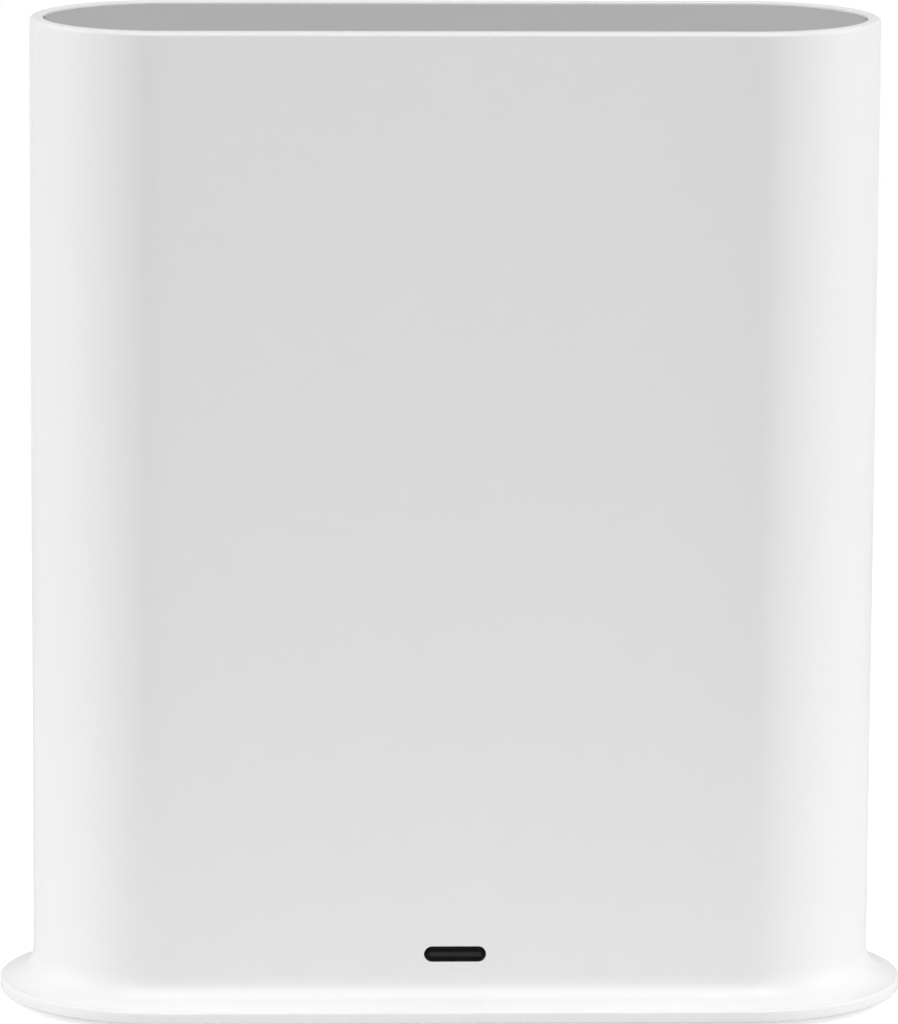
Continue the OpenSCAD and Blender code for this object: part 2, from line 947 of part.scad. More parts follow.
module power_spring() {
    color("#d5d7d9")
        block(dc_x, port_z + dc_bore / 2 + leaf_t / 2, leaf_w, leaf_t, dc_floor, dc_shoulder - run);
}

// Board, frame and what they carry

module at_board_screws() {
    for (side = [-1, 1], z = [frame_low + board_screw_in, board_top - board_screw_in])
        translate([side * board_screw_x, 0, z])
            children();
}

module at_sink_screws() {
    translate([0, 0, chip_z])
        at_corners(sink_screw_x, sink_screw_z)
            children();
}

module main_board() {
    hole_d = small_screw_d + 2 * fit;
    board_round = 1;
    color("#1f5c3a")
        difference() {
            slab(board_front, board_back)
                translate([0, (board_low + board_top) / 2])
                    rounded(board_w, board_top - board_low, board_round);
            at_board_screws()
                rod(0, 0, hole_d, board_front - past, board_back + past);
            at_sink_screws()
                rod(0, 0, hole_d, board_front - past, board_back + past);
            for (side = [-1, 1])
                rod(side * leg_x, window_z, peg_d + 2 * run, board_front - past, board_back + past);
        }
}

module board_frame() {
    bar_mid = (frame_low + chip_z - sink_h / 2) / 2;
    rail_mid = (rail_in + rail_out) / 2;
    frame_mid = (frame_low + frame_top) / 2;
    frame_front = board_front - rail_d;
    bar_w = rail_in + rail_out;
    color("#3a3b3d")
        difference() {
            union() {
                for (side = [-1, 1])
                    block(side * rail_mid, frame_mid, rail_w, frame_top - frame_low,
                        frame_front, board_front);
                for (z = [frame_low + bar_h / 2, bar_mid, frame_top - bar_h / 2])
                    block(0, z, bar_w, bar_h, frame_front, board_front);
                for (side = [-1, 1])
                    translate([side * foot_boss_x, boss_y, cover_top])
                        cylinder(d = boss_d, h = bar_low_top - cover_top);
                antenna_pegs(antenna_peg_d, antenna_t + antenna_peg_over);
            }
            at_board_screws()
                rod(0, 0, small_screw_d + 2 * run, frame_front - past, board_front + past);
            for (side = [-1, 1])
                translate([side * foot_boss_x, boss_y, cover_top - past])
                    cylinder(d = pilot_d, h = pilot_len + past);
        }
}

module processor() {
    color("#26272a")
        block(0, chip_z, chip_w, chip_w, board_front - chip_t, board_front);
}

module thermal_pad() {
    color("#9fb3c4")
        block(0, chip_z, chip_w, chip_w, sink_back, board_front - chip_t);
}

module heat_sink() {
    color("#c4c7ca")
        difference() {
            union() {
                block(0, chip_z, sink_w, sink_h, sink_face, sink_back);
                for (i = [0 : fin_n - 1])
                    block((i - (fin_n - 1) / 2) * fin_pitch, chip_z, fin_t, sink_h, fin_tip, sink_face);
            }
            at_sink_screws()
                rod(0, 0, small_screw_d + 2 * fit, sink_face - past, sink_back + past);
        }
}

module heat_sink_standoffs() {
    color("#c9a85c")
        at_sink_screws()
            difference() {
                rod(0, 0, standoff_d, sink_back, board_front);
                rod(0, 0, small_screw_d + 2 * run, sink_back - past, board_front + past);
            }
}

module small_screw(head_y, toward, len) {
    slot_w = 0.6;
    slot_t = 0.5;
    slot_edge = 0.6;
    head_top = head_y - toward * small_head_h;
    tip = head_y + toward * len;
    difference() {
        union() {
            rod(0, 0, small_head_d, min(head_y, head_top), max(head_y, head_top));
            rod(0, 0, small_screw_d, min(head_y, tip), max(head_y, tip));
        }
        for (turn = [0, 90])
            translate([0, head_top, 0])
                rotate([0, turn, 0])
                    cube([small_head_d - 2 * slot_edge, 2 * slot_t, slot_w], center = true);
    }
}

module heat_sink_screws() {
    color("#b8babd")
        at_sink_screws()
            small_screw(sink_face, 1, board_back - sink_face);
}

module board_screws() {
    color("#b8babd")
        at_board_screws()
            small_screw(board_back, -1, board_screw_len);
}

module memory_chips() {
    memory_w = 9;
    memory_h = 12;
    memory_t = 1;
    memory_gap = 1.5;
    memory_x = chip_w / 2 + memory_w / 2 + memory_gap;
    color("#2a2b2e")
        for (side = [-1, 1])
            block(side * memory_x, chip_z, memory_w, memory_h, board_front - memory_t, board_front);
}

// Radio parts sit on the board's back, under two tinned cans
radio_w = 20;
radio_h = 24;
radio_high = 3;
radio_skin = 0.3;
radio_gap = 3.1;
radio_x = plug_x - plug_d / 2 - radio_gap - radio_w / 2;

module radio_shields() {
    color("#c6c9cc")
        for (side = [-1, 1])
            difference() {
                block(side * radio_x, chip_z, radio_w, radio_h, board_back, board_back + radio_high);
                block(side * radio_x, chip_z, radio_w - 2 * radio_skin, radio_h - 2 * radio_skin,
                    board_back - past, board_back + radio_high - radio_skin);
            }
}

module radio_chips() {
    die_w = 9;
    die_t = 1.1;
    color("#26272a")
        for (side = [-1, 1])
            block(side * radio_x, chip_z, die_w, die_w, board_back, board_back + die_t);
}

// Pulse transformer above the network socket
module network_transformer() {
    coil_w = 14;
    coil_h = 8;
    coil_t = 5;
    coil_gap = 3;
    coil_side = 6;
    coil_z = port_z + net_out_h / 2 + coil_gap + coil_h / 2;
    color("#232426")
        block(net_x + coil_side, coil_z, coil_w, coil_h, board_back, board_back + coil_t);
}

// Power supply above the power socket: a row of capacitors, and a row of inductors above them
supply_side = 2;
supply_x = dc_x + supply_side;
supply_pitch = 8;
supply_gap = 5.8;
can_d = 6.3;
can_z = port_z + dc_w / 2 + supply_gap + can_d / 2;

module bulk_capacitors() {
    can_len = 7.7;
    color("#9aa1a8")
        for (i = [0, 1])
            rod(supply_x + i * supply_pitch, can_z, can_d, board_back, board_back + can_len);
}

module power_inductors() {
    choke_w = 6.8;
    choke_t = 3.2;
    choke_gap = 2;
    choke_z = can_z + can_d / 2 + choke_gap + choke_w / 2;
    color("#4b4d50")
        for (i = [0, 1])
            block(supply_x + i * supply_pitch, choke_z, choke_w, choke_w, board_back, board_back + choke_t);
}

// Antennas

module antenna_pegs(d, len) {
    peg_z = [antenna_low + antenna_peg_in, antenna_low + antenna_h - antenna_peg_in];
    mirrored_x()
        for (z = peg_z)
            translate([rail_out - past, board_front - rail_d / 2, z])
                rotate([0, 90, 0])
                    cylinder(d = d, h = len + past);
}

module antenna() {
    color("#2d6b46")
        difference() {
            translate([rail_out, antenna_back - antenna_w, antenna_low])
                cube([antenna_t, antenna_w, antenna_h]);
            antenna_pegs(antenna_peg_d + 2 * run, antenna_t + past);
        }
}

module antenna_right() {
    antenna();
}

module antenna_left() {
    mirror([1, 0, 0]) antenna();
}

// Round tube along a list of points, as one closed surface of rings and two end caps
function ahead(p, i) = p[min(i + 1, len(p) - 1)] - p[max(i - 1, 0)];
function unit(v) = v / norm(v);
function ring(p, i, d, sides) =
    let (t = unit(ahead(p, i)), u = unit(cross(t, [0, 1, 0])), v = cross(t, u))
    [for (k = [0 : sides - 1]) p[i] + d / 2 * (cos(360 * k / sides) * u + sin(360 * k / sides) * v)];

module tube(p, d, sides) {
    last = len(p) - 1;
    rings = [for (i = [0 : last], q = ring(p, i, d, sides)) q];
    start_cap = [for (k = [1 : sides - 2]) [0, k, k + 1]];
    end = last * sides;
    end_cap = [for (k = [1 : sides - 2]) [end, end + k + 1, end + k]];
    skin = [
        for (i = [0 : last - 1], k = [0 : sides - 1])
            let (a = i * sides + k, b = i * sides + (k + 1) % sides)
            each [[a, a + sides, b], [b, a + sides, b + sides]]
    ];
    polyhedron(rings, concat(start_cap, end_cap, skin));
}

module antenna_lead() {
    lead_sides = 8;
    color("#3c3d40")
        translate(lead_origin)
            tube(lead_points, lead_d, lead_sides);
}

module antenna_lead_right() {
    antenna_lead();
}

module antenna_lead_left() {
    mirror([1, 0, 0]) antenna_lead();
}

socket_h = 0.8;
plug_hat = 2 * (lead_end.y - board_back - socket_h);

module antenna_sockets() {
    color("#d8b25a")
        mirrored_x()
            block(plug_x, plug_z, plug_d, plug_d, board_back, board_back + socket_h);
}

module antenna_plugs() {
    color("#c9ccd0")
        mirrored_x() {
            rod(plug_x, plug_z, plug_d, board_back + socket_h, board_back + socket_h + plug_hat);
            translate([plug_x, lead_end.y, plug_z])
                rotate([0, 90, 0])
                    cylinder(d = lead_d, h = plug_reach);
        }
}

module base_screws() {
    head_top = foot_z + head_sink;
    slot_t = 0.7;
    slot_w = 0.9;
    slot_edge = 1.1;
    color("#a4a6a9")
        at_base_screws()
            difference() {
                union() {
                    translate([0, 0, head_top - base_head_h])
                        cylinder(d = base_head_d, h = base_head_h);
                    translate([0, 0, head_top])
                        cylinder(d = base_screw_d, h = base_screw_len);
                }
                for (turn = [0, 90])
                    translate([0, 0, head_top - base_head_h])
                        rotate([0, 0, turn])
                            cube([base_head_d - 2 * slot_edge, slot_w, 2 * slot_t], center = true);
            }
}

outer_sleeve();
top_plate();
base_cover();
rubber_feet();
status_window();
light_pipe();
status_led();
port_panel();
sync_button();
sync_switch_body();
sync_switch_plunger();
reset_switch_body();
reset_plunger();
network_housing();
network_shield();
network_contacts();
network_lights();
usb_shell();
usb_insert();
usb_contacts();
power_housing();
power_pin();
power_spring();
main_board();
board_frame();
processor();
thermal_pad();
heat_sink();
heat_sink_standoffs();
heat_sink_screws();
memory_chips();
radio_shields();
radio_chips();
network_transformer();
bulk_capacitors();
power_inductors();
antenna_left();
antenna_right();
antenna_lead_left();
antenna_lead_right();
antenna_sockets();
antenna_plugs();
base_screws();
board_screws();
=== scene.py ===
"""Looks of an upright white base station: fine surfaces around its solids, finishes, light and camera.

Lengths are metres in the frame of the solids: +Z up, the front with the status window towards -Y.
"""

import json
import math

import bmesh
import bpy
import numpy as np
from mathutils import Matrix, Vector
from mathutils.geometry import tessellate_polygon


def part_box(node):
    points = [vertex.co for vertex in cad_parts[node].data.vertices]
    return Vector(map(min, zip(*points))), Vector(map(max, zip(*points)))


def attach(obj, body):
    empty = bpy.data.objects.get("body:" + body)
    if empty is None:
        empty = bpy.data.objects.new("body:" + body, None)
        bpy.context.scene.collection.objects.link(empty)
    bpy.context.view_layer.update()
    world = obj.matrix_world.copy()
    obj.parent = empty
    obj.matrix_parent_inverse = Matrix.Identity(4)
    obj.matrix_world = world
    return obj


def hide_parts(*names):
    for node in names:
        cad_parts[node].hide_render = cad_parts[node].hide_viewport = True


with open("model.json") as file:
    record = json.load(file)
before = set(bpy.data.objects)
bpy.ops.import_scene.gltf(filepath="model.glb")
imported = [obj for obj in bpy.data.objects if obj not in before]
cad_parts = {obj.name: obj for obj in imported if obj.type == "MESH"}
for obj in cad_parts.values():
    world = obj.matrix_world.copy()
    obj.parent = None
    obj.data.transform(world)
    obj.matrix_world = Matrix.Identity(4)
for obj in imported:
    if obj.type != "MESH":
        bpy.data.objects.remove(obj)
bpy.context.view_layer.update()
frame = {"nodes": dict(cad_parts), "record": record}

MM = 0.001
BODY = "base_station"

# Sizes of the sleeve, the plate and the cover
FOOT_FLARE = 4.4 * MM
FOOT_EDGE = 1.65 * MM
FOOT_ROUND = 0.35 * MM
FOOT_FILLET = 3.95 * MM
WALL = 1.8 * MM
RIM_W = 1.7 * MM
RIM_ROUND = 0.6 * MM
LEDGE_W = 1.6 * MM
LEDGE_T = 1.6 * MM
PLATE_T = 2 * MM
COVER_TOP = 3.2 * MM
COVER_SEAT = 1.52 * MM
SLEEVE_SCREW = (46.5 * MM, 3 * MM)
FIT = 0.12 * MM

# Sizes of what shows in the wall's holes
WINDOW_LIP = 1.1 * MM
PANEL_LIP = 3 * MM
BAY_ROUND = 3 * MM
BUTTON_FLANGE = 1.2 * MM
BUTTON_GAP = 0.25 * MM
SLOT_W = 1.6 * MM
SLOT_H = 16 * MM
SLOT_PITCH = 4 * MM
SLOT_COUNT = 13
SLOT_DROP = 26 * MM

# Sizes and places that the solids' boxes give
SLEEVE_LO, SLEEVE_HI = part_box("outer_sleeve")
PLATE_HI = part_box("top_plate")[1]
COVER_LO, COVER_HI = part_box("base_cover")
WINDOW_LO, WINDOW_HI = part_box("status_window")
PANEL_LO, PANEL_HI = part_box("port_panel")
BUTTON_LO, BUTTON_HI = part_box("sync_button")
USB_LO, USB_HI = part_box("usb_shell")
BODY_R = SLEEVE_HI.y - FOOT_FLARE
HALF_LEN = SLEEVE_HI.x - SLEEVE_HI.y
FOOT_Z = SLEEVE_LO.z
FOOT_TOP = FOOT_Z + FOOT_EDGE
RIM_Z = SLEEVE_HI.z
LEDGE_Z = PLATE_HI.z - PLATE_T
WINDOW_W = WINDOW_HI.x - WINDOW_LO.x - 2 * WINDOW_LIP
WINDOW_H = WINDOW_HI.z - WINDOW_LO.z - 2 * WINDOW_LIP
WINDOW_Z = (WINDOW_LO.z + WINDOW_HI.z) / 2
BAY_Z = (PANEL_LO.z + PANEL_HI.z) / 2
BUTTON_R = (BUTTON_HI.x - BUTTON_LO.x) / 2 - BUTTON_FLANGE
BUTTON_Z = (BUTTON_LO.z + BUTTON_HI.z) / 2

# A flat keeps one narrow strip beside a rounded edge, so that its shading stays flat
STRIP = 0.4 * MM
# A surface of revolution closes on a circle of this radius, too small to see
POLE = 0.01 * MM
# Points closer than this are one point
SAME = 0.001 * MM
# Largest step along a rounded edge
ARC_STEP = math.radians(7.5)
# Edges that turn by more than this stay sharp to the eye
SHARP = math.radians(40)


# Lines and surfaces


def unit(v):
    """Direction of a vector, with the length 1."""
    return v / np.linalg.norm(v)


def softened(corners, closed):
    """Line through corners given as (across, up, rounding): an arc that touches both sides takes the place
    of each corner."""
    points = np.array([c[:2] for c in corners], float)
    radii = [c[2] for c in corners]
    line = []
    for k, (corner, radius) in enumerate(zip(points, radii)):
        at_an_end = not closed and k in (0, len(points) - 1)
        if radius == 0 or at_an_end:
            line.append(corner[None])
            continue
        before = unit(points[k - 1] - corner)
        after = unit(points[(k + 1) % len(points)] - corner)
        half = math.acos(np.clip(before @ after, -1, 1)) / 2
        middle = corner + unit(before + after) * radius / math.sin(half)
        outward = unit(corner - middle)
        side = np.array([-outward[1], outward[0]])
        sweep = math.pi / 2 - half
        turn = np.sign(side @ before) * np.linspace(sweep, -sweep, 2 + int(2 * sweep / ARC_STEP))
        line.append(middle + radius * (np.cos(turn)[:, None] * outward + np.sin(turn)[:, None] * side))
    return np.vstack(line)


def outline(width, height, radius, steps=12):
    """Rounded rectangle as stations, each a corner arc's middle and a direction, so that the middle plus r
    times the direction is a point for any r. Stations one strip in from each arc keep the sides flat."""
    quarter = np.linspace(0, math.pi / 2, steps + 1)
    corners = np.array([(1, 1), (-1, 1), (-1, -1), (1, -1)]) * (width / 2 - radius, height / 2 - radius)
    middles, turns = [], []
    for k, (middle, following) in enumerate(zip(corners, np.roll(corners, -1, 0))):
        middles.append(np.repeat(middle[None], steps + 1, 0))
        turns.append(quarter + k * math.pi / 2)
        side = np.linalg.norm(following - middle)
        if side > 4 * STRIP:
            share = STRIP / side
            middles.append(np.array([middle + (following - middle) * s for s in (share, 1 - share)]))
            turns.append(np.full(2, (k + 1) * math.pi / 2))
    middles, turns = np.vstack(middles), np.hstack(turns)
    directions = np.stack([np.cos(turns), np.sin(turns)], -1)
    stations = np.hstack([middles, directions])
    keep = np.abs(stations - np.roll(stations, 1, 0)).sum(1) > SAME
    return middles[keep], directions[keep], radius


def carried(stations, profile):
    """Profile carried round an outline: a point lies profile[0] outside the outline, at the height
    profile[1]."""
    middles, directions, radius = stations
    reach = radius + profile[None, :, 0, None]
    flat = middles[:, None] + reach * directions[:, None]
    height = np.broadcast_to(profile[None, :, 1, None], (*flat.shape[:2], 1))
    return np.concatenate([flat, height], -1)


def grid_faces(rows, columns, close_rows, close_columns, left_out=()):
    """Four-sided faces of a grid of points, apart from the (row, column) cells that are left out."""
    i, j = np.meshgrid(
        np.arange(rows if close_rows else rows - 1),
        np.arange(columns if close_columns else columns - 1),
        indexing="ij",
    )
    here, below = i * columns, (i + 1) % rows * columns
    beside = (j + 1) % columns
    cells = np.stack([here + j, below + j, below + beside, here + beside], -1)
    keep = np.ones(i.shape, bool)
    for cell in left_out:
        keep[cell] = False
    return cells[keep].tolist()


# Directions across, up and out of a face
FACING = {
    "up": ((1, 0, 0), (0, 1, 0), (0, 0, 1)),
    "front": ((1, 0, 0), (0, 0, 1), (0, -1, 0)),
    "rear": ((-1, 0, 0), (0, 0, 1), (0, 1, 0)),
}


def placed(points, facing, middle):
    """Points given across, up and out of a face are turned to that face and set about its middle."""
    return points @ np.array(FACING[facing], float) + np.array(middle)


def tube(stations, profile, facing="up", middle=(0, 0, 0)):
    """Open surface: a profile carried once round an outline."""
    points = placed(carried(stations, profile), facing, middle)
    return points.reshape(-1, 3), grid_faces(*points.shape[:2], True, False)


def looped(stations, section, facing="up", middle=(0, 0, 0)):
    """Closed surface: a closed section carried once round an outline."""
    points = placed(carried(stations, section), facing, middle)
    return points.reshape(-1, 3), grid_faces(*points.shape[:2], True, True)


def end_face(stations, profile, column):
    """Flat face across a tube at one point of its profile."""
    return (np.arange(len(stations[0])) * len(profile) + column).tolist()


def solid(stations, profile, facing="up", middle=(0, 0, 0)):
    """Closed surface: a profile carried round an outline, with a flat end at its first and last point."""
    points, faces = tube(stations, profile, facing, middle)
    return points, faces + [end_face(stations, profile, column) for column in (0, len(profile) - 1)]


def sunk(stations, profile, middle):
    """Lining of a blind hole: a profile carried round an outline, with a flat floor at its last point."""
    points, faces = tube(stations, profile, "up", middle)
    return points, faces + [end_face(stations, profile, len(profile) - 1)]


def prism(section, across):
    """A closed section, given as (y, z) points, carried straight along X between two places."""
    rows = np.stack([np.insert(np.array(section, float), 0, x, axis=1) for x in across])
    faces = grid_faces(*rows.shape[:2], False, True)
    count = len(section)
    return rows.reshape(-1, 3), faces + [list(range(count)), list(range(count, 2 * count))]


def pierced(edge, holes):
    """Flat face inside an edge loop and outside the loops of its holes."""
    loops = [edge, *holes]
    triangles = tessellate_polygon([[Vector(p) for p in loop] for loop in loops])
    return np.vstack(loops), [list(t) for t in triangles]


# Objects


def put(name, data):
    """New object at the origin of the scene."""
    made = bpy.data.objects.new(name, data)
    bpy.context.scene.collection.objects.link(made)
    return made


def joined(name, surfaces):
    """One object from surfaces whose points meet, its faces outwards, smooth across all but sharp edges."""
    starts = np.cumsum([0] + [len(points) for points, _ in surfaces])
    points = np.vstack([points for points, _ in surfaces])
    faces = [[v + int(start) for v in face] for start, (_, own) in zip(starts, surfaces) for face in own]
    mesh = bpy.data.meshes.new(name)
    mesh.from_pydata(points, [], faces)
    shape = bmesh.new()
    shape.from_mesh(mesh)
    bmesh.ops.remove_doubles(shape, verts=shape.verts, dist=SAME)
    bmesh.ops.recalc_face_normals(shape, faces=shape.faces)
    shape.to_mesh(mesh)
    shape.free()
    mesh.shade_smooth()
    mesh.set_sharp_from_angle(angle=SHARP)
    return put(name, mesh)


def dressed(made, slot, body, *nodes):
    """The piece rides on a body, stands for the solids named, and takes the slot's finish."""
    made.data.materials.append(FINISHES[slot])
    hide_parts(*nodes)
    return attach(made, body)


def merged_mesh(name, source):
    """Mesh of a solid's loose triangles, with the points that lie in one place merged."""
    source.calc_loop_triangles()
    points = np.empty(len(source.vertices) * 3)
    source.vertices.foreach_get("co", points)
    points = points.reshape(-1, 3)
    corners = np.empty(len(source.loop_triangles) * 3, int)
    source.loop_triangles.foreach_get("vertices", corners)
    _, first, where = np.unique(np.round(points / SAME), axis=0, return_index=True, return_inverse=True)
    mesh = bpy.data.meshes.new(name)
    mesh.from_pydata(points[first], [], where.ravel()[corners].reshape(-1, 3).tolist())
    return mesh


def eased_copy(node, width):
    """Copy of a solid with its flat faces whole again and its sharp outer edges rounded."""
    flat = math.radians(0.2)
    name = node + "_eased"
    mesh = merged_mesh(name, frame["nodes"][node].data)
    shape = bmesh.new()
    shape.from_mesh(mesh)
    bmesh.ops.dissolve_limit(
        shape, angle_limit=flat, verts=shape.verts, edges=shape.edges, use_dissolve_boundaries=False
    )
    shape.normal_update()
    rounded = shape.edges.layers.float.new("bevel_weight_edge")
    for edge in shape.edges:
        edge[rounded] = float(edge.is_convex and edge.calc_face_angle() > SHARP)
    shape.to_mesh(mesh)
    shape.free()
    mesh.shade_smooth()
    made = put(name, mesh)
    ease = made.modifiers.new("eased_edges", "BEVEL")
    ease.width = width
    ease.segments = 3
    ease.limit_method = "WEIGHT"
    ease.use_clamp_overlap = False
    ease.harden_normals = True
    return made


# Finishes


def linear(colour):
    """Linear colour of an sRGB hex value."""
    c = np.array([int(colour[k:k + 2], 16) for k in (1, 3, 5)]) / 255
    return (*np.where(c <= 0.04045, c / 12.92, ((c + 0.055) / 1.055) ** 2.4), 1.0)


def add(tree, kind, sockets=None, **settings):
    """Adds a node: settings are its properties, and sockets take a value or a link from another node."""
    node = tree.nodes.new(kind)
    for key, value in settings.items():
        setattr(node, key, value)
    for key, value in (sockets or {}).items():
        if isinstance(value, bpy.types.NodeSocket):
            tree.links.new(value, node.inputs[key])
        else:
            node.inputs[key].default_value = value
    return node


def mixed(tree, share, first, second):
    """Colour between two others; 0, 6, 7 and 2 are the sockets of a Mix node that belong to colours."""
    return add(tree, "ShaderNodeMix", {0: share, 6: first, 7: second}, data_type="RGBA").outputs[2]


def worked(tree, operation, first, second):
    """Value that a Math node works out from two others."""
    return add(tree, "ShaderNodeMath", {0: first, 1: second}, operation=operation).outputs[0]


def emptied(holder):
    """Node tree of a material or a world, with nothing in it yet."""
    holder.use_nodes = True
    holder.node_tree.nodes.clear()
    return holder.node_tree


def started(name, **sockets):
    """New material with one shader, whose constant values sit on its own sockets."""
    finish = bpy.data.materials.new(name)
    tree = emptied(finish)
    shader = add(tree, "ShaderNodeBsdfPrincipled", {k.replace("_", " "): v for k, v in sockets.items()})
    add(tree, "ShaderNodeOutputMaterial", {"Surface": shader.outputs[0]})
    place = add(tree, "ShaderNodeTexCoord").outputs["Object"]
    return finish, tree, shader, place


def tinted(tree, shader, pattern, colour, shade):
    """Base colour that a pattern darkens by the shade given at most."""
    full = np.array(linear(colour))
    dark = full * (1 - shade, 1 - shade, 1 - shade, 1)
    tree.links.new(mixed(tree, pattern, tuple(dark), tuple(full)), shader.inputs["Base Color"])


def textured(tree, shader, pattern, rough, depth):
    """A pattern as relief of the depth given, and as a small change of gloss."""
    spread = 0.05
    gloss = add(
        tree, "ShaderNodeMapRange", {"Value": pattern, "To Min": rough - spread, "To Max": rough + spread}
    )
    tree.links.new(gloss.outputs[0], shader.inputs["Roughness"])
    bump = add(tree, "ShaderNodeBump", {"Height": pattern, "Distance": depth})
    tree.links.new(bump.outputs[0], shader.inputs["Normal"])


def moulded(name, colour, rough, grain, depth, shade=0.03, **sockets):
    """Moulded plastic: a cloudy tint as the melt cooled, and the grain of the mould's face in relief and
    gloss."""
    cloud = 15 * MM
    finish, tree, shader, place = started(name, **sockets)
    tone = add(tree, "ShaderNodeTexNoise", {"Vector": place, "Scale": 1 / cloud, "Detail": 2.0})
    grit = add(tree, "ShaderNodeTexNoise", {"Vector": place, "Scale": 1 / grain, "Detail": 3.0})
    tinted(tree, shader, tone.outputs[0], colour, shade)
    textured(tree, shader, grit.outputs[0], rough, depth)
    return finish


def metal(name, colour, rough, line, along=(1, 1, 1)):
    """Bare or plated metal: fine drawn lines, stretched where along is small, in tint, relief and gloss."""
    shade, depth = 0.07, 0.0012 * MM
    finish, tree, shader, place = started(name, Metallic=1.0)
    drawn = add(tree, "ShaderNodeMapping", {"Vector": place, "Scale": along}).outputs[0]
    lines = add(tree, "ShaderNodeTexNoise", {"Vector": drawn, "Scale": 1 / line, "Detail": 4.0})
    tinted(tree, shader, lines.outputs[0], colour, shade)
    textured(tree, shader, lines.outputs[0], rough, depth)
    return finish


def smoked_window():
    """Smoked polycarbonate from a polished mould: near black, with a painted paler line that stands for the
    light pipe's end seen through the smoke.
    """
    half_len, half_h, fade = 3.2 * MM, 0.12 * MM, 0.35 * MM
    finish, tree, shader, place = started(
        "polycarbonate_smoked_polished", Roughness=0.16, IOR=1.58, Specular_IOR_Level=0.07
    )
    offset = add(tree, "ShaderNodeVectorMath", {0: place, 1: (0, 0, -WINDOW_Z)}, operation="ADD")
    apart = add(tree, "ShaderNodeVectorMath", {0: offset.outputs[0]}, operation="ABSOLUTE")
    axes = add(tree, "ShaderNodeSeparateXYZ", {0: apart.outputs[0]})
    painted_line_parts = []
    for axis, half in (("X", half_len), ("Z", half_h)):
        faded = {"From Min": half, "From Max": half + fade, "To Min": 1.0, "To Max": 0.0}
        painted_line_parts.append(add(
            tree, "ShaderNodeMapRange", {"Value": axes.outputs[axis], **faded},
            interpolation_type="SMOOTHSTEP",
        ).outputs[0])
    # Painted line: inside these bounds the colour turns paler, standing for the light pipe's end seen
    # through the smoke
    line = worked(tree, "MULTIPLY", *painted_line_parts)
    tint = mixed(tree, line, linear("#060607"), linear("#2e2e2f"))
    tree.links.new(tint, shader.inputs["Base Color"])
    return finish


def resist_board():
    """Glass-epoxy board under green solder resist: copper tracks show as paler lines, vias as dots."""
    track_pitch, track_len, track_w, track_rise = 1.3 * MM, 11.7 * MM, 0.182 * MM, 0.02 * MM
    via_pitch = 3.4 * MM
    via_share, via_edge_share = 0.1, 0.14
    finish, tree, shader, place = started("glass_epoxy_green_resist", Roughness=0.32)
    turned = add(tree, "ShaderNodeMapping", {"Vector": place, "Rotation": (math.pi / 2, 0, 0)})
    tracks = add(tree, "ShaderNodeTexBrick", {
        "Vector": turned.outputs[0],
        "Scale": 1.0,
        "Mortar Size": track_w,
        "Brick Width": track_len,
        "Row Height": track_pitch,
        "Color1": linear("#12502f"),
        "Color2": linear("#16583a"),
        "Mortar": linear("#1c6441"),
    })
    dots = add(tree, "ShaderNodeTexVoronoi", {"Vector": place, "Scale": 1 / via_pitch})
    vias = add(tree, "ShaderNodeMapRange", {
        "Value": dots.outputs["Distance"],
        "From Min": via_share,
        "From Max": via_edge_share,
        "To Min": 1.0,
        "To Max": 0.0,
    })
    tint = mixed(tree, vias.outputs[0], tracks.outputs["Color"], linear("#9fae8c"))
    tree.links.new(tint, shader.inputs["Base Color"])
    bump = add(tree, "ShaderNodeBump", {"Height": tracks.outputs["Fac"], "Distance": track_rise})
    tree.links.new(bump.outputs[0], shader.inputs["Normal"])
    return finish


